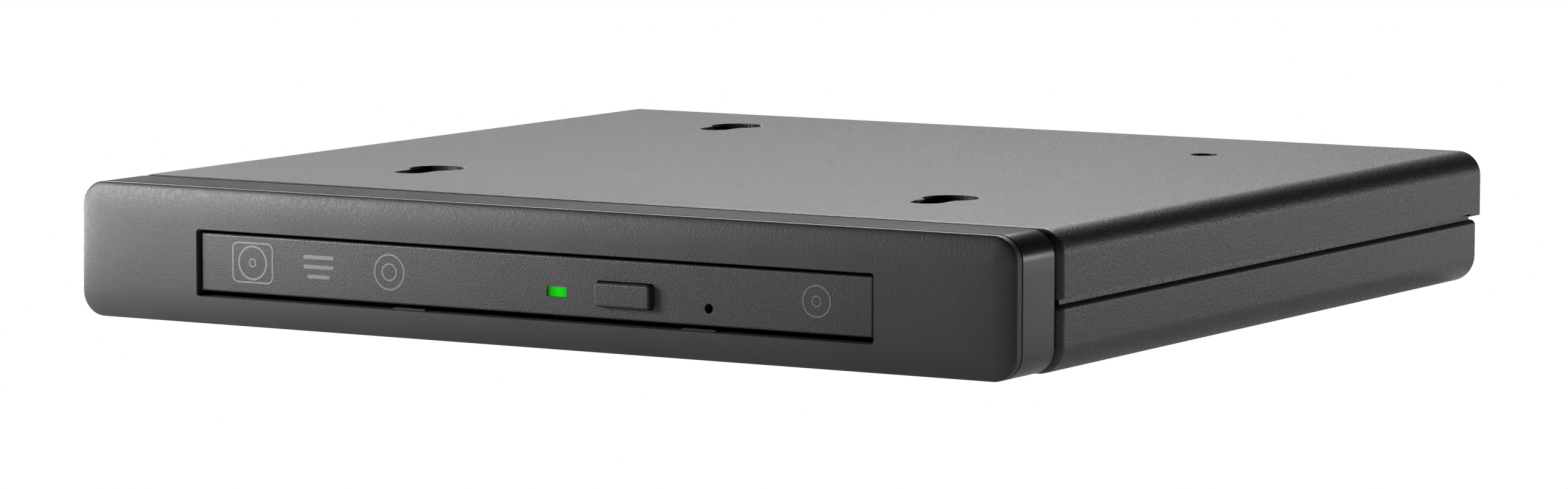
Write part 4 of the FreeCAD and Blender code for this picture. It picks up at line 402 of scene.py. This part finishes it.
def loop(left, right, low, high, radius, turn=6, run=4):
    """Points round a rectangle: quarter circles at its corners, joined by evenly spaced straight runs.

    A corner's points are its centre plus radius * (cos a, sin a), with a in turn even steps over a quarter
    turn. A run's are the even shares of the way from one corner's last point to the next one's first.
    """
    angle = np.linspace(0, pi / 2, turn + 1)
    centres = [(right - radius, high - radius), (left + radius, high - radius)]
    centres += [(left + radius, low + radius), (right - radius, low + radius)]
    corners = []
    for quarter, (x, y) in enumerate(centres):
        bend = angle + quarter * pi / 2
        corners.append(np.stack([x + radius * np.cos(bend), y + radius * np.sin(bend)], 1))
    pieces = []
    for corner, following in zip(corners, corners[1:] + corners[:1]):
        share = np.linspace(0, 1, run + 1)[1:-1, None]
        pieces += [corner, corner[-1] * (1 - share) + following[0] * share]
    return np.concatenate(pieces)


def lift(flat, level, axis="z"):
    """A flat loop as points in space: level is the height along the axis."""
    level = np.broadcast_to(level, len(flat))
    columns = {"z": (flat[:, 0], flat[:, 1], level), "y": (flat[:, 0], level, flat[:, 1])}[axis]
    return np.stack(columns, 1)


def slab(left, right, low, high, bottom, top, corner=0.3, edge=0.1, axis="z"):
    """A block with round corners: its outline steps in by the edge's bevel at the bottom and at the top."""
    steps = [(edge, bottom), (0, bottom + edge), (0, top - edge), (edge, top)]
    rows = []
    for cut, level in steps:
        radius = max(corner - cut, 0.02)
        rows.append(lift(loop(left + cut, right - cut, low + cut, high - cut, radius, 3, 2), level, axis))
    return Shape().grid(np.array(rows))


def lathe(profile, sides=48):
    """A profile of (radius, height) points turned once about the upright axis."""
    angle = np.arange(sides) * 2 * pi / sides
    radius, height = np.array(profile, float).T
    x, y = radius[:, None] * np.cos(angle), radius[:, None] * np.sin(angle)
    return np.stack([x, y, np.broadcast_to(height[:, None], x.shape)], -1)


def tube(path, radius, sides=8):
    """A round wire: path + radius * (cos a * side + sin a * up), both square to the path at each point."""
    path = np.asarray(path, float)
    along = np.gradient(path, axis=0)
    along /= np.linalg.norm(along, axis=1)[:, None]
    up = np.where(np.abs(along[:, 2:]) < 0.9, [[0.0, 0.0, 1.0]], [[1.0, 0.0, 0.0]])
    side = np.cross(along, up)
    side /= np.linalg.norm(side, axis=1)[:, None]
    up = np.cross(side, along)
    angle = np.arange(sides) * 2 * pi / sides
    circle = np.cos(angle)[None, :, None] * side[:, None] + np.sin(angle)[None, :, None] * up[:, None]
    return path[:, None] + radius * circle


def module(points):
    """From the module's own millimetres, with the front's lower edge at 0, to the frame's."""
    return points + [0, FRONT / MM, SILL / MM]


def drive(points):
    """From the drive's own millimetres, with 0 at its middle, the front's plane and its underside."""
    return points + DRIVE_PLACE


def traverse(points):
    """From the traverse's millimetres: x is the pickup's travel, turned about the disc spindle."""
    turn = radians(-135)
    x, y = points[:, 0], points[:, 1]
    turned = np.stack([x * cos(turn) - y * sin(turn), x * sin(turn) + y * cos(turn), points[:, 2]], 1)
    return turned + [c / MM for c in SPINDLE]


def facing(place, side):
    """Takes points whose z is outwards to a place where outwards is a side's direction."""
    x, y, z = (0, 1, 2)
    order, signs = {
        "up": ((x, y, z), (1, 1, 1)),
        "down": ((x, y, z), (1, -1, -1)),
        "back": ((x, z, y), (-1, 1, 1)),
        "front": ((x, z, y), (1, -1, 1)),
        "right": ((z, x, y), (1, 1, 1)),
        "left": ((z, x, y), (-1, -1, 1)),
    }[side]

    def move(points):
        return points[:, list(order)] * signs + place

    return move


# Front


def cap_drop(flat):
    """How far the front falls back near its outline.

    With t the distance from the outline, the fall is CAP_FALL * (1 - sqrt(1 - (1 - t / CAP_REACH)^2)): a
    quarter of an ellipse, which leaves the flat face softly and ends square to it at the outline.
    """
    x_in = CAP_WIDTH / 2 - np.abs(flat[:, 0])
    z_in = CAP_HEIGHT / 2 - np.abs(flat[:, 1] - CAP_HEIGHT / 2)
    past = np.hypot(np.maximum(CAP_CORNER - x_in, 0), np.maximum(CAP_CORNER - z_in, 0))
    inwards = np.where(past > 0, CAP_CORNER - past, np.minimum(x_in, z_in))
    bend = np.clip(1 - inwards / CAP_REACH, 0, 1)
    return CAP_FALL * (1 - np.sqrt(np.maximum(1 - bend**2, 0)))


def front_outline(inset, turn, run):
    """The module's outline as seen from the front, moved in: its corner radius shrinks by as much."""
    corner = max(CAP_CORNER - inset, 0.15)
    return loop(-CAP_WIDTH / 2 + inset, CAP_WIDTH / 2 - inset, inset, CAP_HEIGHT - inset, corner, turn, run)


def make_cap():
    """The front: a frame round the drive's window, closed by its tongue at the back.

    Its section is a closed profile carried round: through the window, over its bevelled edge, out across
    the face, whose depth is cap_drop, back along the outside and in along the tongue. Across the flat of
    the face the rows are even shares of the way from the window to the outline.
    """
    turn, run = 10, 24
    middle, half, low, high = DRIVE_X / MM, 64.15, 4.65, 15.65
    bevel, back, tongue = 0.12, 2.4, 5.8

    def outline(inset):
        return front_outline(inset, turn, run)

    def window(grow):
        left, right = middle - half - grow, middle + half + grow
        return loop(left, right, low - grow, high + grow, 0.5 + grow, turn, run)

    def face(flat):
        return lift(flat, cap_drop(flat), "y")

    rows = [lift(window(0), back, "y"), lift(window(0), bevel + cap_drop(window(bevel)), "y")]
    inner = window(bevel + 0.04)
    rows += [face(window(bevel)), face(inner)]
    bend_insets = CAP_REACH * (1 - np.sin(np.linspace(radians(16.6), pi / 2, 15)))
    outer = outline(bend_insets[0])
    rows += [face(inner * (1 - share) + outer * share) for share in np.linspace(0, 1, 7)[1:-1]]
    rows += [face(outline(inset)) for inset in bend_insets]
    steps = [(0, back - 0.05), (0.05, back), (0.6, back), (0.6, tongue - 0.1), (0.7, tongue)]
    steps += [(1.8, tongue), (1.8, back)]
    rows += [lift(outline(inset), level, "y") for inset, level in steps]
    cap = Shape().grid(np.array(rows), ring=True)
    for x in (-23.3, 31.5):
        cap.add(slab(x - 3.1, x + 3.1, low - 0.1, low + 0.22, 1.2, back - 0.01, 0.08, 0.05, "y"))
    cap.placed(module).make("soft_cap", "module", "cap_plastic", stands_for=["front_cap"])


def make_band():
    """The smooth ring behind the cap, with its rolled back edge, spigot and snap hooks.

    Its section is a closed profile of (inset, depth) points carried round the outline. The rolled edge is a
    quarter circle: roll * (1 - cos a) in, and roll * sin a back.
    """
    start, end, spigot_end, roll = 2.75, 13.6, 14.4, 0.7
    bend = np.linspace(0, pi / 2, 7)
    steps = [(2.0, 5.9), (0.55, 5.9), (0.55, start), (0.08, start), (0, start + 0.08)]
    steps += [(roll * (1 - cos(a)), end - roll + roll * sin(a)) for a in bend]
    steps += [(1.2, end), (1.2, spigot_end), (2.0, spigot_end)]
    rows = [lift(front_outline(inset, 14, 6), level, "y") for inset, level in steps]
    band = Shape().grid(np.array(rows), ring=True)

    half, thick, hook_end = 4, 1.2, 17.0
    for x in (-68, -27, 27, 68):
        for low, out in ((2.0, -1), (CAP_HEIGHT - 2.0 - thick, 1)):
            band.add(slab(x - half, x + half, low, low + thick, 6.9, hook_end, 0.1, 0.05, "y"))
            side = low + thick / 2 + out * thick / 2
            barb_low, barb_high = sorted((side, side + out * 0.7))
            band.add(slab(x - half, x + half, barb_low, barb_high, hook_end - 1.5, hook_end, 0.1, 0.05, "y"))
    band.placed(module).make("smooth_band", "module", "band_plastic", stands_for=["bezel_band"])


def fold_smoothly(node, body):
    """A copy of a folded sheet whose bends run into its flats without a break in their shading."""
    mesh = frame["nodes"][node].data.copy()
    joined = bmesh.new()
    joined.from_mesh(mesh)
    bmesh.ops.remove_doubles(joined, verts=joined.verts, dist=0.001 * MM)
    joined.to_mesh(mesh)
    joined.free()
    mesh.shade_smooth()
    mesh.set_sharp_from_angle(angle=radians(30))
    piece = bpy.data.objects.new(f"{node}_sheet", mesh)
    bpy.context.collection.objects.link(piece)
    weighted = piece.modifiers.new("even_flats", "WEIGHTED_NORMAL")
    weighted.keep_sharp = True
    weighted.weight = 100
    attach(piece, body)
    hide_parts(node)


# Screws, feet and springs


def screw(head, height, shank, length):
    """A pan-head screw with a cross recess, its seat at z = 0 and its head upwards.

    Each ring of the head is a circle whose points crowd to the four arms of the cross; the arms' floor lies
    under the crown by half the head's height, and the crown falls by the square of the radius.
    """
    arms, arm_width, arm_end = 4, 0.17, 0.6
    share = np.array([0.05, 0.18, 0.3, 0.45, arm_end - 0.03, arm_end, 0.72, 0.86, 0.95, 1.0])[:, None]
    radius = share * head
    spread = np.arcsin(np.clip(arm_width * head / radius, 0, 0.6))
    across_arm = spread * [-1.0, -0.86, 0.0, 0.86, 1.0]
    between_arms = spread + (pi / 2 - 2 * spread) * np.linspace(0, 1, 5)[1:-1]
    quarter = np.concatenate([across_arm, between_arms], axis=1)
    angle = np.concatenate([quarter + k * pi / 2 for k in range(arms)], axis=1)
    in_arm = np.tile([0, 1, 1, 1, 0, 0, 0, 0], arms)
    deep = np.where(radius < arm_end * head - 1e-6, in_arm, 0.0)
    deep = np.where(radius < arm_width * head * 1.7, 1.0, deep)
    crown = height * (1 - 0.3 * share**2 - 0.35 * np.clip(share - 0.86, 0, 1) / 0.14)
    top = np.stack([radius * np.cos(angle), radius * np.sin(angle), crown - deep * height * 0.5], -1)
    rim = top[-1:] * [1, 1, 0]
    stem = rim * [shank / head, shank / head, 1]
    end = stem - [0, 0, length]
    return Shape().grid(np.concatenate([top, rim, stem, end]))


def put_screws(name, body, slot, seats, size, stands_for=()):
    """One piece of equal screws: seats are places with the side that each head faces."""
    group = Shape()
    for place, side in seats:
        group.add(screw(*size).placed(facing(np.array(place, float), side)))
    group.make(name, body, slot, stands_for=stands_for)


def in_frame(move, points):
    """Places given in the module's, drive's or traverse's millimetres, as places in the frame."""
    return [tuple(p) for p in move(np.array(points, float))]


def node_box(node):
    """A node's lowest and highest corners in millimetres."""
    low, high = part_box(node)
    return np.array(low) / MM, np.array(high) / MM


def in_corners(low, high, side, front, back):
    """The four places, seen from above, that lie inside a box's corners by the given distances."""
    return [(x, y) for x in (low[0] + side, high[0] - side) for y in (low[1] + front, high[1] - back)]


def make_case_screws():
    """The cover's screws at the back, the brackets' from below and the drive's from both sides."""
    low, high = node_box("cover_screws")
    head, height = 2.7, 1.1
    level = (low[2] + high[2]) / 2
    seats = [((x, high[1] - height, level), "back") for x in (low[0] + head, high[0] - head)]
    size = (head, height, 1.4, 4.2)
    put_screws("cover_screw_heads", "module", "dark_screw", seats, size, ["cover_screws"])

    low, high = node_box("bracket_screws")
    height = 0.75
    seats = [((x, y, low[2] + height), "down") for x, y in in_corners(low, high, head, head, head)]
    slot = slot_of["bracket_screws"]
    put_screws("bracket_screw_heads", "module", slot, seats, (head, height, 1.4, 2.2), ["bracket_screws"])

    low, high = node_box("drive_screws")
    head, height = 1.8, 0.45
    level = (low[2] + high[2]) / 2
    seats = []
    for x, y in in_corners(low, high, height, head, head):
        seats.append(((x, y, level), "left" if x < DRIVE_X / MM else "right"))
    size = (head, height, 0.95, 1.6)
    put_screws("drive_screw_heads", "module", "bright_screw", seats, size, ["drive_screws"])


def make_drive_fasteners():
    """Screws of the boards, the tray's cover, the traverse's dampers and the drive's top."""
    low, high = node_box("adaptor_board")
    seats = [((x, y, high[2]), "up") for x, y in in_corners(low, high, 4, 4, 4)]
    put_screws("board_screw_heads", "module", "bright_screw", seats, (2.3, 0.9, 1.2, 3.0))

    low, high = node_box("drive_top_cover")
    seats = [((x, y, high[2]), "up") for x, y in in_corners(low, high, 3.85, 8, 8.8)]
    put_screws("casing_screw_heads", "module", "bright_screw", seats, (1.8, 0.4, 0.8, 2.0))

    under = [(-52, 12, 1.1), (37.6, 11, 1.1), (-52, 98, 1.1), (22, 122.4, 1.1)]
    seats = [(place, "down") for place in in_frame(drive, under)]
    put_screws("tray_screw_heads", "tray", "bright_screw", seats, (1.7, 0.3, 0.8, 1.6))

    ears = [(-15, -15, 1.8), (-12, 19, 1.8), (38, -19.8, 1.8)]
    seats = [(place, "down") for place in in_frame(traverse, ears)]
    put_screws("damper_screw_heads", "tray", "bright_screw", seats, (1.8, 0.28, 0.8, 1.4))


def make_feet():
    """Moulded pads with two grooves round their soles: one profile, turned about each foot's middle."""
    low, high = node_box("rubber_feet")
    radius = 6
    profile = [(0.3, 0.2), (1.6, 0.2), (1.8, 0), (3.2, 0), (3.4, 0.2), (4.1, 0.2), (4.3, 0), (5.3, 0)]
    profile += [(5.65, 0.08), (5.88, 0.3), (radius, 0.6), (radius, 1.5), (0.3, 1.5)]
    feet = Shape()
    for x, y in in_corners(low, high, radius, radius, radius):
        feet.grid(lathe(profile, 40) + [x, y, 0])
    feet.make("feet_pads", "module", "rubber", stands_for=["rubber_feet"], angle=50)


def make_leadscrew():
    """A rolled thread: the radius follows a triangle wave of the way along less the turn.

    The wave is cut off at both ends, which leaves flat crests and flat groove floors, and the groove runs
    out over one pitch at a plain end of the screw.
    """
    start, end, pitch, radius, groove, plain_end = 11.8, 63.6, 2.0, 0.8, 0.22, 2
    axis_y, axis_z = 17.2, 2.6
    x = np.arange(start, end, pitch / 12)[:, None]
    angle = np.arange(20) * 2 * pi / 20
    wave = np.abs((x / pitch - angle / (2 * pi)) % 1 - 0.5) * 2
    from_start = np.clip((x - start - plain_end) / pitch, 0, 1)
    from_end = np.clip((end - plain_end - x) / pitch, 0, 1)
    r = radius - groove * np.clip(1.6 * wave - 0.4, 0, 1) * from_start * from_end
    y, z = axis_y + r * np.cos(angle), axis_z + r * np.sin(angle)
    rows = np.stack([np.broadcast_to(x, r.shape), y, z], -1)
    thread = Shape().grid(rows).placed(traverse)
    stands_for = ["leadscrew"]
    thread.make("leadscrew_thread", "leadscrew", slot_of["leadscrew"], stands_for=stands_for, angle=60)


def make_spring():
    """A pressed coil spring: a helix along y whose turns lie closer together at its ends.

    With s the share of the wire, the way along is s + 0.05 * sin(2 pi s) / pi of the spring's length.
    """
    low, high = node_box("eject_spring")
    turns, wire = 7.0, 0.22
    share = np.linspace(0, 1, int(turns * 20))
    middle = (low + high) / 2
    radius = (high[0] - low[0]) / 2 - wire
    reach = high[1] - low[1] - 2 * wire
    y = low[1] + wire + reach * (share + 0.05 * np.sin(2 * pi * share) / pi)
    turn = 2 * pi * turns * share
    path = np.stack([middle[0] + radius * np.cos(turn), y, middle[2] + radius * np.sin(turn)], 1)
    spring = Shape().grid(tube(path, wire))
    stands_for = ["eject_spring"]
    spring.make("eject_spring_coil", "tray", slot_of["eject_spring"], stands_for=stands_for, angle=70)


# Marks, contacts and pickup


def make_marks():
    """Plain printed marks in the places where such a face carries its marks: rings, bars and a frame."""
    ink = 0.02
    front = (face_low.y / MM - DRIVE_PLACE[1]) - 0.01
    marks = Shape()

    def rings(*radii):
        shape = Shape()
        for outer, inner in radii:
            shape.grid(lathe([(outer, 0), (outer, ink), (inner, ink), (inner, 0)], 56), ring=True)
        return shape

    def rounded_frame(left, right, low, high, line, corner):
        outer = loop(left, right, low, high, corner)
        inner = loop(left + line, right - line, low + line, high - line, corner - line)
        rows = [lift(outer, 0), lift(outer, ink), lift(inner, ink), lift(inner, 0)]
        return Shape().grid(np.array(rows), ring=True)

    def put(shape, x, z):
        marks.add(shape.placed(facing([x, front, z], "front")).placed(drive))

    level = 5.1
    put(rings((2.9, 2.55), (0.75, 0.5)), -53.4, level)
    put(rounded_frame(-4.1, 4.1, -3.4, 3.4, 0.3, 1.2), -53.4, level)
    for step, half in enumerate((3.0, 3.0, 2.2)):
        bar = loop(-half, half, -0.32, 0.32, 0.3)
        put(Shape().grid(np.array([lift(bar, 0), lift(bar, ink)])), -40.3, level + 1.6 * (1 - step))
    put(rings((3.0, 2.7), (1.5, 1.2)), -26.4, level)
    put(rings((2.6, 2.35), (0.9, 0.7)), 53.6, level)
    marks.make("face_marks", "tray", "face_plastic", printed_ink("printed_ink", (0.2, 0.2, 0.2)))


def make_contacts():
    """Gold strips on the inlet's tongue, evenly spaced about its middle."""
    inlet_x, spacing, half = 30, 0.8, 0.2
    contacts = Shape()
    for step in range(5):
        x = inlet_x + spacing * (step - 2)
        contacts.add(slab(x - half, x + half, 164.8, 170.6, 6.12, 6.24, 0.08, 0.03))
    gold = metal("contact_gold", (0.95, 0.68, 0.3), 0.22, 0.3 * MM, (1, 0.1, 1))
    contacts.placed(module).make("inlet_contacts", "module", "port_shell", gold)


def make_pickup():
    """Magnets, ribbon and screws on the pickup's head, and the coil and rim of its lens.

    The coil is a closed profile of (step out, height) points carried round the holder's outline.
    """
    lens_x, top = 24.5, 4.95
    magnets = Shape()
    for low, high in ((-6.9, -5.5), (5.5, 6.9)):
        magnets.add(slab(lens_x - 2.6, lens_x + 2.6, low, high, top - 0.5, top + 0.12, 0.2, 0.06))
    magnets.placed(traverse).make("focus_magnets", "pickup_sled", "rail_metal")

    ribbon = slab(17.0, 20.2, -4.6, 4.6, top - 0.05, top + 0.06, 0.5, 0.02)
    ribbon.placed(traverse).make("pickup_ribbon", "pickup_sled", "ribbon")
    parts = Shape()
    for y, half in ((-3.2, 0.7), (-1.2, 0.45), (0.6, 0.45), (2.8, 0.8)):
        parts.add(slab(17.9, 18.9, y - half, y + half, top, top + 0.34, 0.1, 0.06))
    parts.placed(traverse).make("pickup_components", "pickup_sled", "chip_black")
    seats = [(place, "up") for place in in_frame(traverse, [(18.4, 6.1, top), (18.4, -6.1, top)])]
    put_screws("pickup_screws", "pickup_sled", "bright_screw", seats, (0.75, 0.22, 0.4, 0.6))

    half_x, half_y, corner = 3.2, 4.8, 0.7
    coil = []
    for out, level in ((0.02, 3.55), (0.3, 3.55), (0.36, 3.65), (0.36, 4.4), (0.3, 4.5), (0.02, 4.5)):
        x, y = half_x + out, half_y + out
        coil.append(lift(loop(lens_x - x, lens_x + x, -y, y, corner + out), level))
    wound = Shape().grid(np.array(coil), ring=True).placed(traverse)
    wound.make("focus_coil", "lens_holder", "coil_copper")
    profile = [(1.93, 4.7), (1.93, 4.92), (2.05, 5.0), (2.35, 5.0), (2.5, 4.9), (2.6, 4.7)]
    rim = Shape().grid(lathe(profile, 40) + [lens_x, 0, 0], ring=True)
    rim.placed(traverse).make("lens_rim", "lens_holder", "holder_black")


def make_hub():
    """The turntable's pressed cap: a shallow dish with a rolled rim, and the shaft's end in its middle."""
    profile = [(0.01, 8.52), (0.7, 8.52), (0.8, 8.44), (0.82, 8.36), (2.2, 8.36), (2.6, 8.52), (3.0, 8.6)]
    profile += [(3.3, 8.58), (3.45, 8.5), (3.5, 8.35)]
    cap = Shape().grid(lathe(profile)).placed(traverse)
    cap.make("hub_cap", "turntable", "rotor_steel", angle=50)


# Boards


def gull_legs(left, right, low, high, bottom, top, pitch, width=0.28):
    """Chip legs along the two sides in x: out of the body, down, and flat on the board.

    Each leg is its outline of (way out, height) points, drawn across its width.
    """
    legs = Shape()
    middle = bottom + (top - bottom) * 0.5
    count = int((high - low - 0.8) / pitch)
    start = (low + high) / 2 - (count - 1) * pitch / 2
    outline = [(0, middle), (0.25, middle), (0.45, bottom + 0.1), (0.85, bottom + 0.1)]
    outline += [(0.85, bottom), (0.35, bottom), (0.15, middle - 0.1), (0, middle - 0.1)]
    out, level = np.array(outline).T
    for edge, sign in ((left, -1), (right, 1)):
        for y in start + pitch * np.arange(count):
            sides = [np.full(len(out), y + s * width / 2) for s in (-1, 1)]
            legs.grid(np.array([np.stack([edge + sign * out, side, level], 1) for side in sides]))
    return legs


def chip(left, right, low, high, bottom, top):
    """A moulded body with bevelled edges, lifted off its board, and a small ring at its first leg."""
    body = slab(left, right, low, high, bottom + 0.08, top, 0.15, 0.12)
    mark = lathe([(0.35, 0), (0.35, 0.015), (0.2, 0.015), (0.2, 0)], 16)
    return body.grid(mark + [left + 0.9, low + 0.9, top - 0.005], ring=True)


def capacitor(x, y, bottom, radius, top):
    """A can with a pinched sleeve near its foot and a dished top: a profile turned about its middle."""
    height = top - bottom
    neck = radius * 0.9
    profile = [(0.05, 0), (neck, 0), (radius, 0.2), (radius, 0.9), (neck, 1.1), (radius, 1.35)]
    profile += [(radius, height - 0.3), (radius * 0.88, height)]
    profile += [(radius * 0.8, height - 0.12), (0.05, height - 0.12)]
    return Shape().grid(lathe(profile, 32) + [x, y, bottom])


def make_tray_chips():
    """Bodies and legs of the chips on the tray's board, with its socket and a small block."""
    board = 2.4
    chips = [(-23.2, -10.8, 101.3, 114.7, 0.9), (2.8, 11.2, 103.3, 110.7, 0.8)]
    chips += [(-35.2, -28.8, 104.3, 111.7, 0.8), (18.8, 24.2, 100.3, 103.7, 0.7)]
    bodies, legs = Shape(), Shape()
    for left, right, low, high, tall in chips:
        bodies.add(chip(left, right, low, high, board, board + tall))
        legs.add(gull_legs(left, right, low, high, board, board + tall, 0.65))
    bodies.add(slab(29, 39, 108, 115.6, board, board + 0.9, 0.2, 0.1))
    bodies.add(slab(4.5, 6.9, 7.77, 9.47, board, board + 0.9, 0.2, 0.1))
    bodies.placed(drive).make("tray_chip_bodies", "tray", "chip_black", stands_for=["tray_chips"])
    legs.placed(drive).make("tray_chip_legs", "tray", "port_shell")


def make_adaptor_chips():
    """Bodies and legs of the adaptor board's chips, with its crystal, coil and capacitors."""
    board = 4.6
    bodies, legs = Shape(), Shape()
    for left, right, low, high, tall in ((-5, 3, 148.3, 157.7, 1.0), (12.7, 16.3, 152.2, 155, 1.2)):
        bodies.add(chip(left, right, low, high, board, board + tall))
        legs.add(gull_legs(left, right, low, high, board, board + tall, 0.8))
    bodies.add(slab(-26, -20, 146, 150, board, board + 1.6, 1.4, 0.3))
    bodies.add(slab(44, 52, 146, 152, board, board + 3, 1.2, 0.5))
    bodies.placed(module).make("adaptor_chip_bodies", "module", "chip_black", stands_for=["board_chips"])
    legs.placed(module).make("adaptor_chip_legs", "module", "port_shell")
    cans = capacitor(-22, 158, board, 2.5, board + 5.6).add(capacitor(-14, 160, board, 2, board + 5))
    cans.placed(module).make("adaptor_capacitors", "module", "port_shell")


make_cap()
make_band()
for shell in ("top_cover", "base_tray"):
    fold_smoothly(shell, "module")
make_marks()
make_case_screws()
make_drive_fasteners()
make_feet()
make_leadscrew()
make_spring()
make_contacts()
make_pickup()
make_hub()
make_tray_chips()
make_adaptor_chips()


# Stage


def floor():
    """A wide plane at the feet: plain white to the camera, and matt paper with a weak glow to the object."""
    half = 3.0
    mesh = bpy.data.meshes.new("floor")
    corners = [(-half, -half, 0), (half, -half, 0), (half, half, 0), (-half, half, 0)]
    mesh.from_pydata(corners, [], [(0, 1, 2, 3)])
    paper = bpy.data.objects.new("floor", mesh)
    bpy.context.collection.objects.link(paper)
    made = Finish("paper")
    made.set(Base_Color=(0.8, 0.8, 0.8, 1), Roughness=0.9)
    glow = made.node("ShaderNodeEmission", Strength=1.0)
    mixed = made.node("ShaderNodeMixShader")
    seen = made.node("ShaderNodeLightPath").outputs["Is Camera Ray"]
    made.feed(mixed.inputs[0], made.span(seen, 0, 1, 0.38, 1))
    made.feed(mixed.inputs[1], made.shader.outputs[0])
    made.feed(mixed.inputs[2], glow.outputs[0])
    made.feed(made.tree.nodes["Material Output"].inputs["Surface"], mixed.outputs[0])
    mesh.materials.append(made.material)


def backdrop():
    """White behind the object, to the camera alone, so that it adds no light."""
    world = bpy.data.worlds.new("studio")
    bpy.context.scene.world = world
    world.use_nodes = True
    nodes, links = world.node_tree.nodes, world.node_tree.links
    nodes.clear()
    seen = nodes.new("ShaderNodeLightPath").outputs["Is Camera Ray"]
    light = nodes.new("ShaderNodeBackground")
    links.new(seen, light.inputs["Strength"])
    output = nodes.new("ShaderNodeOutputWorld")
    links.new(light.outputs[0], output.inputs["Surface"])


def softbox(name, place, target, size, power):
    """A rectangular lamp at place that faces target; size is its width and height."""
    lamp = bpy.data.lights.new(name, "AREA")
    lamp.shape = "RECTANGLE"
    lamp.size, lamp.size_y = size
    lamp.energy = power
    obj = bpy.data.objects.new(name, lamp)
    bpy.context.collection.objects.link(obj)
    away = Vector(target) - Vector(place)
    obj.matrix_world = Matrix.Translation(place) @ away.to_track_quat("-Z", "Y").to_matrix().to_4x4()
    obj.visible_camera = False


def camera():
    """The photo's viewpoint: from the front right, a little above, with a long lens."""
    yaw, pitch, roll = radians(30.329), radians(5.987), radians(0.125)
    focal, width = 10192.5, 2576  # in the photo's pixels
    distance = 1059.86
    aim = Vector((0.935 * MM, FRONT + 80 * MM, SILL + 9.6 * MM))
    ahead = Vector((-sin(yaw) * cos(pitch), cos(yaw) * cos(pitch), -sin(pitch)))
    right = Vector((cos(yaw), sin(yaw), 0))
    up = right.cross(ahead)
    right, up = cos(roll) * right + sin(roll) * up, cos(roll) * up - sin(roll) * right
    lens = bpy.data.cameras.new("camera")
    lens.sensor_width = 36
    lens.lens = focal / width * lens.sensor_width
    obj = bpy.data.objects.new("camera", lens)
    bpy.context.collection.objects.link(obj)
    turn = Matrix((right, up, -ahead)).transposed().to_4x4()
    obj.matrix_world = Matrix.Translation(aim - ahead * distance * MM) @ turn
    bpy.context.scene.camera = obj


floor()
backdrop()
OBJECT_MIDDLE = (0, 0, 0.02)
STRIP = (0.5, 0.24)
# Each lamp's name, place, target, size and power in watts
lamps = [
    ("near_left", (-0.20, -0.22, 0.09), (-0.06, -0.087, 0.012), (0.10, 0.05), 0.7),
    ("low_left", (-0.45, 0.1, 0.003), (-0.45, 0.1, 1.0), (0.6, 0.8), 24),
    ("right_back", (0.8, 0.75, 0.055), (0.09, 0, 0.012), (0.8, 0.14), 1.6),
    ("behind", (-0.145, 0.823, 0.996), OBJECT_MIDDLE, STRIP, 4.4),
    ("back_left", (-0.506, 0.952, 0.727), OBJECT_MIDDLE, STRIP, 4.4),
    ("left_low", (-1.112, 0.642, 0.203), OBJECT_MIDDLE, STRIP, 30),
    ("left_high", (-1.058, 0.611, 0.445), OBJECT_MIDDLE, STRIP, 4.1),
]
for lamp in lamps:
    softbox(*lamp)
camera()
bpy.context.scene.view_settings.view_transform = "Standard"
